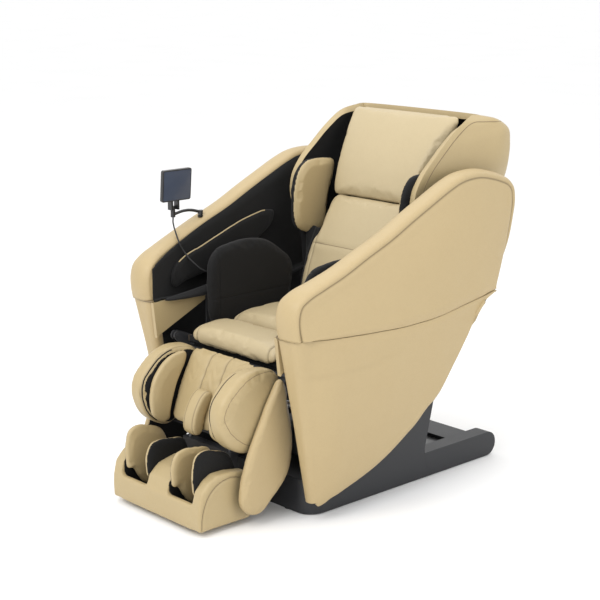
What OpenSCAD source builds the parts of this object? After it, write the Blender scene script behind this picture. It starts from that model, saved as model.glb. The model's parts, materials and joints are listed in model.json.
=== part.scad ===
// Reclining massage chair with leather shells, air-pad leg and foot wells and a swivelling tablet remote.
// Units are millimetres. +Z is up, the sitter faces -Y, +X is the sitter's left hand.

/* [Base] */
// Outside width of the plastic base cover
base_w = 644; // [620:1:650]
// Wall of the plastic base cover
base_wall = 4; // [3:0.5:8]
// Height of the rear legs above the ground clearance
leg_h = 86; // [80:1:96]
// Width of each rear leg
leg_w = 60; // [52:1:70]
// Thickness of the bridge between the rear legs
bridge_t = 12; // [8:1:16]
// Radius of the transport wheels
wheel_r = 32; // [28:1:34]
// Width of the transport wheels
wheel_w = 26; // [18:1:30]

/* [Hinges] */
// Radius of the tilt axle that carries the seat
axle_r = 12; // [9:0.5:15]
// Radius of the recline pins
recline_pin_r = 10; // [7:0.5:12]
// Radius of the leg rest pins
knee_pin_r = 6; // [4:0.5:8]
// Radius of the foot rest slide rods
rod_r = 8; // [6:0.5:9]
// Radius of the rails that the massage carriage runs on
rail_r = 8; // [6:0.5:10]
// Radial running clearance of every pin, rod and axle
run_gap = 0.06; // [0.02:0.01:0.1]

/* [Seat] */
// Width of the seat cushion
seat_w = 428; // [410:1:430]
// Thickness of the steel side plates of the seat frame
frame_t = 6; // [4:0.5:8]
// Thickness of the forearm pads
forearm_t = 32; // [20:1:36]

/* [Side panels] */
// Half width of the chair where its side panels bulge most
bulge = 475; // [460:1:500]
// Thickness of the padded side shells
panel_t = 6; // [4:0.5:10]
// Gap at the seam between the upper and lower side shells
seam_gap = 2; // [1:0.5:4]

/* [Backrest] */
// Width of the back cushion at its widest
back_w = 412; // [380:1:412]
// Thickness of the back cushion
back_t = 72; // [50:1:74]
// Thickness of the head pillow
pillow_t = 60; // [40:1:64]
// Thickness of the padded rear shell and its wings
wing_t = 22; // [14:1:22]

/* [Leg rest] */
// Thickness of each padded calf wall
calf_wall_t = 70; // [50:1:72]
// Thickness of each air pad in the calf channels
air_t = 26; // [14:1:30]
// Thickness of the leaf-shaped covers beside the calves
leaf_t = 27; // [16:1:28]

/* [Foot rest] */
// Thickness of the outer foot walls
foot_wall_t = 42; // [30:1:46]
// Half width of the wall between the feet
foot_mid = 52; // [40:1:56]
// Thickness of the air pads in the foot wells
foot_air_t = 22; // [12:1:26]

/* [Remote] */
// Long side of the tablet
tablet_w = 121; // [110:1:150]
// Short side of the tablet
tablet_h = 108; // [90:1:120]
// Thickness of the tablet
tablet_t = 14; // [9:0.5:18]
// Diameter of the remote's cable
cable_d = 5; // [3:0.5:6]

/* [Hidden] */
$fn = 48;
lift = 3;                        // ground clearance of the plastic, filled by the pan and the pads
tilt_c = [0, 240];               // tilt axle, y and z
rec_c = [150, 480];              // recline pins
knee_c = [-287, 488];            // leg rest pins
lean = 27;                       // lean of the carriage rails from upright
rail_0 = [300, 550];             // lower end of the rails, y and z
rail_x = 120;
rail_len = 500;
leg_lean = 28.5;                 // lean of the leg rest from upright
leg_0 = [-262, 445];             // top of the leg rest's back plate
rod_x = 100;
wheel_c = [622, 34.5];
rocker_c = [290, 93];             // pivot of the power switch
plate_x = 292;                   // outer face of the seat frame's side plates
ear_x = 272;                     // inner face of the recline and knee ears
ear_t = 7;
cover_x = base_w / 2;
leg_x = cover_x;

tan_c = [0.80, 0.72, 0.55];
black_c = [0.07, 0.07, 0.075];
grey_c = [0.16, 0.17, 0.18];
steel_c = [0.45, 0.46, 0.48];

// ---- helpers ------------------------------------------------------------------------------------
function flat(l) = [for (a = l) for (b = a) b];
function mean(l) = [for (k = [0:len(l[0]) - 1]) let (v = [for (p = l) p[k]]) v * [for (q = v) 1] / len(l)];
function area(o) = let (n = len(o), s = [for (i = [0:n - 1]) o[i][0] * o[(i + 1) % n][1] - o[(i + 1) % n][0] * o[i][1]])
  s * [for (q = s) 0.5];
function ccw(o) = area(o) > 0 ? o : [for (i = [len(o) - 1:-1:0]) o[i]];
function sgn(v) = v < 0 ? -1 : 1;
function clamp01(v) = min(1, max(0, v));
function mix(a, b, s) = a + (b - a) * s;

// A closed solid through a list of rings, each counter-clockwise seen from the last ring's side.
module loft(rings) {
  n = len(rings[0]);
  m = len(rings);
  polyhedron(points = concat(flat(rings), [mean(rings[0]), mean(rings[m - 1])]),
    faces = concat(
      [for (i = [0:m - 2]) for (j = [0:n - 1]) each let (k = (j + 1) % n)
        [[i * n + j, (i + 1) * n + j, (i + 1) * n + k], [i * n + j, (i + 1) * n + k, i * n + k]]],
      [for (j = [0:n - 1]) [m * n, j, (j + 1) % n]],
      [for (j = [0:n - 1]) [m * n + 1, (m - 1) * n + (j + 1) % n, (m - 1) * n + j]]));
}

// A crowned pad: an outline in y and z, drawn in towards both faces between x0 and x1.
soft_edge = [[0.42, 1], [0.76, 0.95], [0.93, 0.74], [1, 0.36]];
module pad(outline, x0, x1, soft = soft_edge, outer = soft_edge, bend = false) {
  o = ccw(outline);
  c = mean(o);
  h = (x1 - x0) / 2;
  xc = (x0 + x1) / 2;
  steps = concat([for (s = soft) [s[0], -s[1]]], [for (i = [len(outer) - 1:-1:0]) outer[i]]);
  loft([for (s = steps) [for (p = o) let (y = c[0] + (p[0] - c[0]) * s[0])
    [xc + s[1] * h + (bend ? lining_x(y) - 357 : 0), y, c[1] + (p[1] - c[1]) * s[0]]]]);
}

// One cross-section of a cushion: centre y and z, angle of its thickness, half width, half thickness.
cushion_x = [-1, -0.97, -0.86, -0.62, -0.32, 0, 0.32, 0.62, 0.86, 0.97, 1];
function dip(x, seams) = len(seams) == 0 ? 1 :
  1 - max([for (s = seams) s[1] * exp(-pow((x - s[0]) / s[2], 2))]);
function ring(s, xs, seams, e) = let (u = [cos(s[2]), sin(s[2])], n = len(xs))
  concat(
    [for (i = [n - 1:-1:0]) let (h = pow(max(0, 1 - pow(abs(xs[i]), e)), 1 / e) * dip(xs[i] * s[3], seams))
      [xs[i] * s[3], s[0] + u[0] * s[4] * h, s[1] + u[1] * s[4] * h]],
    [for (i = [1:n - 2]) let (h = pow(max(0, 1 - pow(abs(xs[i]), e)), 1 / e))
      [xs[i] * s[3], s[0] - u[0] * s[4] * h, s[1] - u[1] * s[4] * h]]);
module cushion(st, xs = cushion_x, seams = [], e = 3.4) {
  a = st[0];
  b = st[len(st) - 1];
  way = (b[0] - a[0]) * -sin(a[2]) + (b[1] - a[1]) * cos(a[2]);
  rings = [for (s = st) ring(s, xs, seams, e)];
  loft(way > 0 ? rings : [for (i = [len(rings) - 1:-1:0]) rings[i]]);
}

// A thick sheet between an outer grid and an inner grid, rows to the right and columns up seen from outside.
module sheet(A, B) {
  m = len(A);
  n = len(A[0]);
  k = m * n;
  function q(a, b, c, d) = [[a, b, c], [a, c, d]];
  polyhedron(points = concat(flat(A), flat(B)), faces = concat(
    [for (i = [0:m - 2]) for (j = [0:n - 2]) each
      q(i * n + j, i * n + j + 1, (i + 1) * n + j + 1, (i + 1) * n + j)],
    [for (i = [0:m - 2]) for (j = [0:n - 2]) each
      q(k + i * n + j, k + (i + 1) * n + j, k + (i + 1) * n + j + 1, k + i * n + j + 1)],
    [for (i = [0:m - 2]) each q(i * n, (i + 1) * n, k + (i + 1) * n, k + i * n)],
    [for (i = [0:m - 2]) each q((i + 1) * n + n - 1, i * n + n - 1, k + i * n + n - 1, k + (i + 1) * n + n - 1)],
    [for (j = [0:n - 2]) each q(j + 1, j, k + j, k + j + 1)],
    [for (j = [0:n - 2]) each q((m - 1) * n + j, (m - 1) * n + j + 1, k + (m - 1) * n + j + 1, k + (m - 1) * n + j)]));
}

// A prism from an outline in y and z, between x0 and x1.
module yz(x0, x1) translate([x0, 0, 0]) rotate([90, 0, 90]) linear_extrude(x1 - x0) children();
// A rod along X.
module xrod(c, r, x0, x1) translate([x0, c[0], c[1]]) rotate([0, 90, 0]) cylinder(r = r, h = x1 - x0);
// The same feature on both sides.
module both() { children(); mirror([1, 0, 0]) children(); }
// A frame leaning back by a degrees with its origin at c: local z runs up the lean, local y backwards.
module leaning(c, a) translate([0, c[0], c[1]]) rotate([-a, 0, 0]) children();

// ---- base ---------------------------------------------------------------------------------------
module floor_pan() color(steel_c) translate([-290, -200, 0]) cube([580, 525, lift]);

module cover_plan(inset) {
  w = base_w / 2 - inset;
  r = 60 - inset;
  translate([-w, -180]) square([2 * w, 540 - inset]);
  translate([-w + r, -240 + inset]) square([2 * (w - r), 100]);
  for (s = [-1, 1]) translate([s * (w - r), -180]) circle(r = r);
}

module base_cover() color(grey_c) {
  intersection() {
    translate([0, 0, lift]) linear_extrude(420) difference() {
      cover_plan(0);
      cover_plan(base_wall);
    }
    yz(-400, 400) polygon([[-250, lift], [309, lift], [289, 95], [290, 106], [330, 270], [342, 318], [322, 338],
      [250, 340], [160, 296], [60, 232], [-60, 176], [-160, 132], [-250, 112]]);
  }
  difference() {
    translate([1 - base_w / 2, 288, lift]) cube([base_w - 2, base_wall, 150]);
    translate([-190, 280, 78]) cube([46, 40, 30]);
    translate([-118, 280, 81]) cube([32, 40, 24]);
  }
  xrod(rocker_c, 1.5, -119, -85);
}

module rear_leg() difference() {
  union() {
    yz(leg_x - leg_w, leg_x) {
      polygon([[309.5, lift], [616, lift], [616, lift + leg_h], [292.4, lift + leg_h], [292.4, lift + 78]]);
      translate([616, lift + leg_h / 2]) circle(r = leg_h / 2);
    }
  }
  difference() {
    union() {
      xrod(wheel_c, wheel_r + 4, leg_x - leg_w / 2 - wheel_w / 2 - 2, leg_x - leg_w / 2 + wheel_w / 2 + 2);
      translate([leg_x - leg_w / 2 - wheel_w / 2 - 2, wheel_c[0], -10])
        cube([wheel_w + 4, 80, wheel_c[1] + wheel_r + 14]);
      translate([leg_x - leg_w / 2 - wheel_w / 2 - 2, wheel_c[0] - wheel_r - 4, -10])
        cube([wheel_w + 4, 120, wheel_c[1] + 10]);
    }
    xrod(wheel_c, 5, 200, 400);
  }
}
module rear_leg_left() color(grey_c) rear_leg();
module rear_leg_right() color(grey_c) mirror([1, 0, 0]) rear_leg();

bridge_in = leg_x - leg_w - 24;
module rear_bridge() color(grey_c) difference() {
  translate([-leg_x + leg_w, 293, 58]) cube([2 * (leg_x - leg_w), 320, bridge_t]);
  translate([-bridge_in, 325, 40]) cube([2 * bridge_in, 178, 60]);
}

module rubber_feet() color(black_c) both() {
  translate([210, -226, 0]) cylinder(r = 14, h = lift);
  translate([leg_x - leg_w / 2, 540, 0]) cylinder(r = 18, h = lift);
}

module tilt_stand() color(steel_c) both() difference() {
  yz(262, 270) {
    polygon([[-80, lift], [80, lift], [26, 236], [-26, 236]]);
    translate(tilt_c) circle(r = 28);
  }
  xrod(tilt_c, axle_r, 250, 280);
}

module tilt_axle() color([0.6, 0.6, 0.62]) {
  xrod(tilt_c, axle_r, -298, 298);
  both() xrod(tilt_c, axle_r + 6, 298, 302);
}

module tilt_motor() color(black_c) difference() {
  union() {
    xrod(tilt_c, 34, 196, 262);
    translate([228, tilt_c[0], 90]) cylinder(r = 28, h = 140);
  }
  xrod(tilt_c, axle_r, 150, 270);
}

module power_unit() color([0.3, 0.31, 0.33]) difference() {
  translate([-230, 130, lift]) cube([250, 140, 120]);
  for (k = [0:4]) translate([-200 + k * 40, 120, 40]) cube([6, 20, 60]);
}

module power_inlet() color(black_c) difference() {
  union() {
    translate([-187, 270, 81]) cube([40, 22, 24]);
    translate([-192, 292, 76]) cube([50, 4, 34]);
  }
  translate([-183, 274, 84.5]) cube([32, 30, 17]);
}

module power_switch() color([0.5, 0.06, 0.05]) difference() {
  yz(-116, -88) polygon([[284, 84], [294, 84], [297.5, 84.5], [295, 93], [297.5, 101.5], [294, 102], [284, 102]]);
  xrod(rocker_c, 1.5 + run_gap, -120, -80);
}

module wheel() difference() {
  xrod(wheel_c, wheel_r, leg_x - leg_w / 2 - wheel_w / 2, leg_x - leg_w / 2 + wheel_w / 2);
  xrod(wheel_c, 5 + run_gap, 200, 400);
  for (x = [leg_x - leg_w / 2 - wheel_w / 2 - 1, leg_x - leg_w / 2 + wheel_w / 2 - 4])
    difference() {
      xrod(wheel_c, wheel_r - 7, x, x + 5);
      xrod(wheel_c, 11, x - 1, x + 6);
    }
}
module wheel_left() color(black_c) wheel();
module wheel_right() color(black_c) mirror([1, 0, 0]) wheel();

// ---- seat frame and seat --------------------------------------------------------------------------
module seat_frame() color(steel_c) {
  both() {
    difference() {
      yz(plate_x - frame_t, plate_x) {
        polygon([[-26, 236], [0, 214], [26, 236], [172, 470], [150, 500], [120, 494], [100, 480], [100, 606], [60, 606],
          [60, 470], [-110, 470], [-110, 606], [-150, 606], [-150, 470], [-200, 470],
          [-274, 500], [-302, 492], [-292, 474], [-215, 440], [-60, 430]]);
        translate(tilt_c) circle(r = 26);
        translate(rec_c) circle(r = 22);
        translate(knee_c) circle(r = 15);
      }
      xrod(tilt_c, axle_r + run_gap, 280, 300);
    }
    xrod(rec_c, recline_pin_r, ear_x - 2, plate_x - frame_t);
    xrod(knee_c, knee_pin_r, ear_x - 2, plate_x - frame_t);
  }
  for (y = [-200, 100]) xrod([y, 456], 14, -plate_x + frame_t, plate_x - frame_t);
  both() for (k = [[3, 4], [7, 5]]) let (r = lower_rows[k[0] + 1], v = lower_v[k[1]], y = mix(r[0], r[2], v),
      z = mix(r[1], r[3], v), x = skin_lower(y, z) - panel_t - 0.2) {
    translate([plate_x - 1, y, z]) rotate([0, 90, 0]) cylinder(r = 9, h = x - plate_x - 12);
    translate([x - 13, y, z]) rotate([0, 90, 0]) cylinder(r1 = 9, r2 = 2.5, h = 13);
  }
}

module seat_pan() color([0.62, 0.5, 0.34]) translate([-fore_out, -258, 470]) cube([2 * fore_out, 392, 17.7]);

seat_h = seat_w / 2;
module seat_cushion_front() color(tan_c) cushion([
  [-288, 500, 90, seat_h - 12, 14], [-285, 501, 90, seat_h - 5, 24], [-278, 503, 90, seat_h - 1, 31],
  [-266, 504.5, 90, seat_h, 33.5], [-260, 512.5, 90, seat_h, 24.5], [-250, 514, 90, seat_h, 26], [-215, 517, 90, seat_h, 29], [-170, 519, 90, seat_h, 30],
  [-150, 518, 90, seat_h - 2, 27], [-138, 515, 90, seat_h - 8, 19], [-133, 512, 90, seat_h - 20, 9]]);

module seat_cushion_rear() color(tan_c) cushion([
  [-121, 514, 90, seat_h - 20, 10], [-116, 519, 90, seat_h - 8, 21], [-104, 524, 90, seat_h - 2, 30],
  [-70, 524, 90, seat_h, 36], [0, 526, 90, seat_h, 38], [70, 527, 90, seat_h - 1, 38],
  [120, 528, 90, seat_h - 4, 32], [144, 524, 90, seat_h - 10, 22], [153, 520, 90, seat_h - 24, 10]]);

// ---- side shells ----------------------------------------------------------------------------------
bulge_at = [[-390, -67], [-300, -45], [-200, -28], [0, -7], [200, 0], [400, -10], [620, -36]];
function half_w(y) = bulge + lookup(y, bulge_at);
function skin_x(y, z) = let (p = half_w(y)) z >= 650 ? p : p - (p - 385) * pow((650 - z) / 600, 1.6);
function front_y(z) = -370 + (610 - z) * 0.182;
function front_in(z) = lookup(z, [[50, 328], [340, 324], [612, 312]]);
function front_out(z) = lookup(z, [[50, 370], [450, 390], [612, 408]]);
function skin_lower(y, z) = let (s = clamp01((y - front_y(z) - 14) / 110)) mix(front_out(z), skin_x(y, z), 1 - (1 - s) * (1 - s));

// Front rows of the lower shell: y step behind the front edge, share of the way out, x nudge, inner y and x steps.
lower_front = [[32, 0, 0, 0, 1], [9, 0, 0, 0.8, 1], [1, 0, 8, 1, 0.5], [-2, 0.5, 0, 1, 0], [2, 1, -9, 1, -0.4],
  [13, 1, 0, 0.8, -0.9]];
// Skin rows of the lower shell: y and z on the lower edge, y and z on the seam.
lower_rows = [[-250, 56, -322, 609], [-232, 60, -300, 608], [-208, 74, -270, 606], [-180, 84, -232, 605],
  [-151, 95, -190, 604], [-90, 116, -130, 602], [-27, 143, -60, 601], [34, 179, 10, 600], [94, 224, 82, 602],
  [131, 253, 130, 604], [177, 303, 185, 609], [205, 323, 225, 614], [273, 422, 305, 625], [334, 520, 375, 634],
  [381, 599, 430, 641], [396, 613, 452, 644], [430, 628, 474, 646.5], [475, 639, 490, 647]];
lower_v = [0, 0.12, 0.3, 0.5, 0.7, 0.87, 1];
function lower_A() = concat(
  [for (r = lower_front) [for (v = lower_v) let (z = mix(68, 609, v))
    [mix(front_in(z), front_out(z), r[1]) + r[2], front_y(z) + r[0], z]]],
  [for (r = lower_rows) [for (v = lower_v) let (y = mix(r[0], r[2], v), z = mix(r[1], r[3], v)) [skin_lower(y, z), y, z]]]);
function lower_B() = concat(
  [for (r = lower_front) [for (v = lower_v) let (z = mix(68, 609, v))
    [mix(front_in(z), front_out(z), r[1]) + r[2] + r[4] * panel_t, front_y(z) + r[0] + r[3] * panel_t, z]]],
  [for (r = lower_rows) [for (v = lower_v) let (y = mix(r[0], r[2], v), z = mix(r[1], r[3], v))
    [skin_lower(y, z) - panel_t, y + 0.5, z]]]);
module panel_lower_left() color(tan_c) sheet(lower_A(), lower_B());
module panel_lower_right() color(tan_c) mirror([1, 0, 0]) sheet(lower_A(), lower_B());

// Rows of the upper shell: y and z on the seam, y and z on the top line, outward angle of the top line.
upper_rows = [[-335, 609, -379, 609, 180], [-320, 609, -386, 648, 180], [-297, 608, -386, 688, 176],
  [-266, 606, -373, 726, 152], [-230, 605, -340, 753, 122], [-180, 604, -285, 777, 113], [-120, 602, -207, 808, 112],
  [-50, 601, -106, 851, 114], [20, 600, 0, 894, 115], [90, 602, 100, 943, 116], [160, 606, 190, 985, 115],
  [225, 613, 270, 1021, 112], [280, 621, 325, 1040, 104], [325, 627, 375, 1047, 95], [365, 632, 425, 1047, 85],
  [395, 636, 480, 1037, 76], [415, 639, 535, 1021, 70], [424, 640.5, 575, 1003, 55], [432, 642, 598, 978, 25],
  [440, 643, 607, 932, 0], [452, 644, 598, 870, -10], [462, 645, 577, 790, -13], [472, 647, 548, 715, -18],
  [482, 648.5, 520, 664, -24]];
function crease_x(y) = lookup(y, [[-386, 405], [-300, 415], [-200, 424], [620, 426]]) + (bulge - 475);
function inner_x(y) = lookup(y, [[-386, 313], [-345, 322], [-300, 336], [-230, 350], [-150, 357], [620, 357]]);
upper_v = [0, 0.16, 0.36, 0.58, 0.8, 1];
// Band points outward of the crease: distance along the top line's normal, share of the way to the inner edge.
band = [[10, 0], [18, 0.12], [23.5, 0.3], [25.5, 0.5], [24, 0.7], [18, 0.9], [8, 1]];
function upper_A() = [for (r = upper_rows) let (n = [cos(r[4]), sin(r[4])], c = [r[2], r[3]] - 25 * n,
    b = [r[0], r[1] + seam_gap], xc = crease_x(c[0]), xi = inner_x(r[2]))
  concat([for (v = upper_v) let (y = mix(b[0], c[0], v), z = mix(b[1], c[1], v), p = half_w(y)) [p - (p - xc) * v * v, y, z]],
    [for (q = band) [mix(xc, xi, q[1]), c[0] + q[0] * n[0], c[1] + q[0] * n[1]]],
    [[xi, c[0] + n[0], c[1] + n[1]], [xi, c[0] - 12 * n[0], c[1] - 12 * n[1]]])];
function upper_B() = [for (r = upper_rows) let (n = [cos(r[4]), sin(r[4])], c = [r[2], r[3]] - 25 * n,
    b = [r[0], r[1] + seam_gap], xc = crease_x(c[0]), xi = inner_x(r[2]), t = panel_t)
  concat([for (v = upper_v) let (y = mix(b[0], c[0], v), z = mix(b[1], c[1], v), p = half_w(y))
      [p - (p - xc) * v * v - t, y + 0.5 - n[0] * t * 0.3 * v, z - n[1] * t * 0.3 * v]],
    [for (q = band) [mix(xc - t, xi + t, clamp01(q[1])), c[0] + (q[0] - t) * n[0], c[1] + (q[0] - t) * n[1]]],
    [[xi + t, c[0] - 3 * n[0], c[1] - 3 * n[1]], [xi + t, c[0] - 12 * n[0], c[1] - 12 * n[1]]])];
module panel_upper_left() color(tan_c) sheet(upper_A(), upper_B());
module panel_upper_right() color(tan_c) mirror([1, 0, 0]) sheet(upper_A(), upper_B());

// ---- arm channels ---------------------------------------------------------------------------------
// Rows of the black lining: y, x of the wall, bottom z, top z just under the inner edge of the shell's band.
lining_rows = [[-356, 313, 616, 717], [-349, 313, 616, 722], [-340, 315, 616, 730], [-318, 320, 616, 742],
  [-277.6, 332.4, 612, 759.5], [-200, 349.2, 612, 790], [-98.3, 357, 612, 833.6], [8, 357, 612, 876.8],
  [108.3, 357, 612, 925.9], [198, 357, 612, 967.8], [277, 357, 621, 1003], [329.6, 357, 631, 1021.6],
  [376.7, 357, 640, 1028], [423, 357, 650, 1028], [475.4, 357, 670, 1018.6]];
function lining_x(y) = lookup(y, [for (r = lining_rows) [r[0], r[1]]]);
module lining() sheet(
  [for (r = lining_rows) let (x = r[1] - 0.3) concat([[base_x + 0.3, r[0], r[2] - 6]],
    [for (v = [0, 0.5, 1]) [x, r[0], mix(r[2] - 6, r[3], v)]])],
  [for (r = lining_rows) let (x = r[1] - 4.3) concat([[base_x + 0.3, r[0], r[2] - 2]],
    [for (v = [0, 0.5, 1]) [x, r[0], mix(r[2] - 2, r[3], v)]])]);
module arm_lining_left() color(black_c) lining();
module arm_lining_right() color(black_c) mirror([1, 0, 0]) lining();

base_x = 307.5;
fore_in = seat_h + 3;
fore_out = fore_in + forearm_t;
module arm_base(hole) difference() {
  yz(fore_out + 0.3, base_x) polygon([[-366, 606], [190, 606], [190, 668], [-120, 646], [-250, 629], [-352, 616]]);
  if (hole) translate([285, -115, 636]) cylinder(r = 7, h = 80);
}
module arm_base_left() color(black_c) arm_base(false);
module arm_base_right() color(black_c) mirror([1, 0, 0]) arm_base(true);

module gusset() yz(298, 311.7) polygon([[-352, 484], [-338, 496], [-140, 588], [190, 594], [190, 606], [-366, 606]]);
module arm_gusset_left() color(tan_c) gusset();
module arm_gusset_right() color(tan_c) mirror([1, 0, 0]) gusset();

forearm_o = [[-187, 545], [-192, 600], [-192, 680], [-182, 738], [-150, 774], [-95, 788], [-10, 794], [75, 778],
  [138, 738], [192, 686], [196, 620], [172, 545], [100, 490], [-60, 488.1], [-162, 493]];
module forearm_pad_left() color(black_c) pad(forearm_o, fore_in, fore_out);
module forearm_pad_right() color(black_c) mirror([1, 0, 0]) pad(forearm_o, fore_in, fore_out);

hand_o = [[-272, 679], [-246, 720], [-195, 746], [-126, 766], [-38, 800], [79, 838], [180, 852], [211, 843], [200, 800],
  [150, 760], [40, 700], [-80, 668], [-200, 648], [-262, 640]];
module hand_pad_left() color(black_c) pad(hand_o, 333, 352.4, bend = true);
module hand_pad_right() color(black_c) mirror([1, 0, 0]) pad(hand_o, 333, 352.4, bend = true);

// ---- remote ---------------------------------------------------------------------------------------
mount_p = [-376, -98, 853.6];  // foot of the remote's arm on the right armrest
module remote_mount() color(black_c) {
  translate(mount_p) rotate([22, 0, 0]) rotate([0, 10, 0]) cylinder(r = 9, h = 5);
  translate([mount_p[0], mount_p[1], 857]) cylinder(r = 4.5, h = 16);
}

arm_path = [[-376, -99, 869], [-376, -112, 873], [-377, -128, 877.5], [-378, -148, 880.5], [-379, -168, 880.5],
  [-380, -188, 877.5], [-381, -206, 873]];
module remote_arm() color(black_c) {
  difference() {
    union() {
      translate([mount_p[0], mount_p[1], 862.3]) cylinder(r = 9, h = 13);
      tube(arm_path, 4.5, 10);
    }
    translate([mount_p[0], mount_p[1], 850]) cylinder(r = 4.5 + run_gap, h = 23 + run_gap);
  }
  difference() {
    translate([-381, -212, 864]) cylinder(r = 8, h = 38);
    translate([-381, -212, 860]) cylinder(r = cable_d / 2 + 0.3, h = 14);
  }
  translate([-381, -229, 896]) rotate([-90, 0, 0]) cylinder(r = 4, h = 34);
}

tab_p = [-366, -209, 970.5];     // centre of the tablet
module remote_control() color([0.1, 0.1, 0.11]) difference() {
  union() {
    translate(tab_p) rotate([0, 5, 0]) translate([-tablet_t / 2, -tablet_w / 2, -tablet_h / 2 + 4])
      cube([tablet_t, tablet_w, tablet_h]);
    for (y = [-229, -202.6]) translate([-388, y, 889]) cube([23, 7.6, 42]);
  }
  translate([-381, -260, 896]) rotate([-90, 0, 0]) cylinder(r = 4 + run_gap, h = 90);
}

cable_path = [[-381, -212, 863.7], [-381, -212, 857], [-380.5, -213, 849], [-379, -212, 837],
  [-374.5, -212, 825], [-366, -214, 814], [-355.5, -218, 805], [-345, -221, 794], [-337.5, -222, 783],
  [-335, -212, 765], [-330, -204, 748], [-322.5, -200, 737], [-314, -194, 726], [-306, -187, 716],
  [-299, -178, 705], [-293, -167, 694], [-288, -149, 683], [-285.3, -124, 673], [-285, -117, 665],
  [-285, -115, 655], [-285, -115, 636]];
module tube(path, r, n = 8) {
  m = len(path);
  function way(i) = let (d = path[min(i + 1, m - 1)] - path[max(i - 1, 0)]) d / norm(d);
  rings = [for (i = [0:m - 1]) let (t = way(i), a = cross([0.3, 0.9, 0.1], t), u = a / norm(a), v = cross(t, u))
    [for (k = [0:n - 1]) path[i] + r * (cos(360 * k / n) * u + sin(360 * k / n) * v)]];
  loft(rings);
}
module remote_cable() color([0.05, 0.05, 0.05]) tube(cable_path, cable_d / 2);

module cable_grommet() color([0.04, 0.04, 0.04]) translate([-285, -115, 636]) difference() {
  union() {
    cylinder(r = 7, h = 18);
    translate([0, 0, 14]) cylinder(r = 9.5, h = 4);
  }
  translate([0, 0, -1]) cylinder(r = cable_d / 2 + 0.3, h = 30);
}

// ---- backrest -------------------------------------------------------------------------------------
module back_frame() color(steel_c) {
  both() difference() {
    yz(ear_x, ear_x + ear_t) {
      polygon([rec_c + [-6, 20], rec_c + [8, -20], rail_0 + [8, -16], rail_0 + [-4, 16]]);
      translate(rec_c) circle(r = 21);
      translate(rail_0) circle(r = 17);
      polygon([rail_0 + [0, 10], [340, 620.8], [380, 602], [325, 536]]);
    }
    xrod(rec_c, recline_pin_r + run_gap, 260, 290);
  }
  xrod(rail_0, 14, -ear_x, ear_x);
  both() yz(96, 110) polygon(concat([for (f = back_line) rib_pt(f, bt)], [for (f = pillow_line) rib_pt(f, pt)],
    [lean_pt(-10, rail_len - 2), lean_pt(-20, rail_len - 20), lean_pt(-20, 24), lean_pt(-4, 12)]));
  leaning(rail_0, lean) {
    both() translate([rail_x, 0, 0]) cylinder(r = rail_r, h = rail_len);
    translate([-200, -12, rail_len - 12]) cube([400, 24, 24]);
    both() translate([192, -12, 0]) cube([8, 24, rail_len]);
  }
}

module lead_screw() color([0.6, 0.6, 0.62]) leaning(rail_0, lean)
  translate([0, 0, 14.2]) cylinder(r = 6, h = rail_len - 26.4);

// Levels of the rear shell, bottom to top: front edge y, z, x, then rear corner y, z, x.
shell_levels = [[300, 640, 292, 470, 560, 292], [292, 750, 294, 560, 700, 296], [260, 850, 296, 630, 830, 299],
  [242, 915, 296, 680, 930, 301], [250, 970, 296, 702, 990, 316], [284, 1024, 295, 696, 1050, 336],
  [346, 1082, 293, 693, 1110, 341], [416, 1140, 291, 686, 1150, 338], [488, 1184, 286, 660, 1176, 322],
  [552, 1201, 264, 584, 1200, 274]];
// Round the shell from the left front edge: share of the way back, share of the way in, y bulge.
shell_way = [[0, 0, 0], [0.3, 0, 0], [0.62, 0, 0], [0.88, 0.01, 0], [0.98, 0.06, 4], [1, 0.2, 10], [1, 0.55, 16], [1, 1, 18]];
function shell_pt(l, w, s, t) = let (y = mix(l[0], l[3], w[0]), z = mix(l[1], l[4], w[0]), x = mix(l[2], l[5], w[0]))
  [s * (x - t * (1 - w[1])) * (1 - w[1]), y + w[2] - t * clamp01(w[1] * 3 + (w[0] - 0.8)), z - t * (l[1] > 1190 ? 0.4 : 0)];
function shell_grid(t) = concat([for (w = shell_way) [for (l = shell_levels) shell_pt(l, w, 1, t)]],
  [for (i = [len(shell_way) - 2:-1:0]) [for (l = shell_levels) shell_pt(l, shell_way[i], -1, t)]]);
module back_shell() color(tan_c) sheet(shell_grid(0), shell_grid(wing_t));

function face(y, z, a, w, t) = [y + cos(a) * t, z - sin(a) * t, -a, w, t];
// Points of the ribs that carry the back cushion and the pillow, from a face point and a half thickness.
function rib_pt(f, t) = let (d = t * f[3] * 1.98 + 0.4) [f[0] + cos(f[2]) * d, f[1] - sin(f[2]) * d];
function lean_pt(y, z) = rail_0 + [y * cos(lean) + z * sin(lean), z * cos(lean) - y * sin(lean)];
back_line = [[204, 640, 17, 1], [222, 700, 18, 1], [236, 736, 20, 0.95], [270, 805, 29, 1], [300, 855, 31, 1]];
pillow_line = [[362, 1000, 28, 1], [390, 1053, 29, 1]];
bw = back_w / 2;
bt = back_t / 2;
module back_cushion() color(tan_c) cushion([
  face(190, 556, 13, bw - 20, bt * 0.35), face(186, 562, 14, bw - 8, bt * 0.7), face(190, 580, 15, bw - 2, bt * 0.92),
  face(204, 640, 17, bw, bt), face(222, 700, 18, bw - 1, bt), face(236, 736, 20, bw - 3, bt * 0.95),
  face(243, 748, 22, bw - 4, bt * 0.8), face(247, 760, 25, bw - 4, bt * 0.95), face(270, 805, 29, bw - 6, bt),
  face(300, 855, 31, bw - 9, bt), face(322, 890, 32, bw - 14, bt * 0.85), face(336, 908, 32, bw - 26, bt * 0.5)],
  seams = [[0, 0, 10]]);

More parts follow.
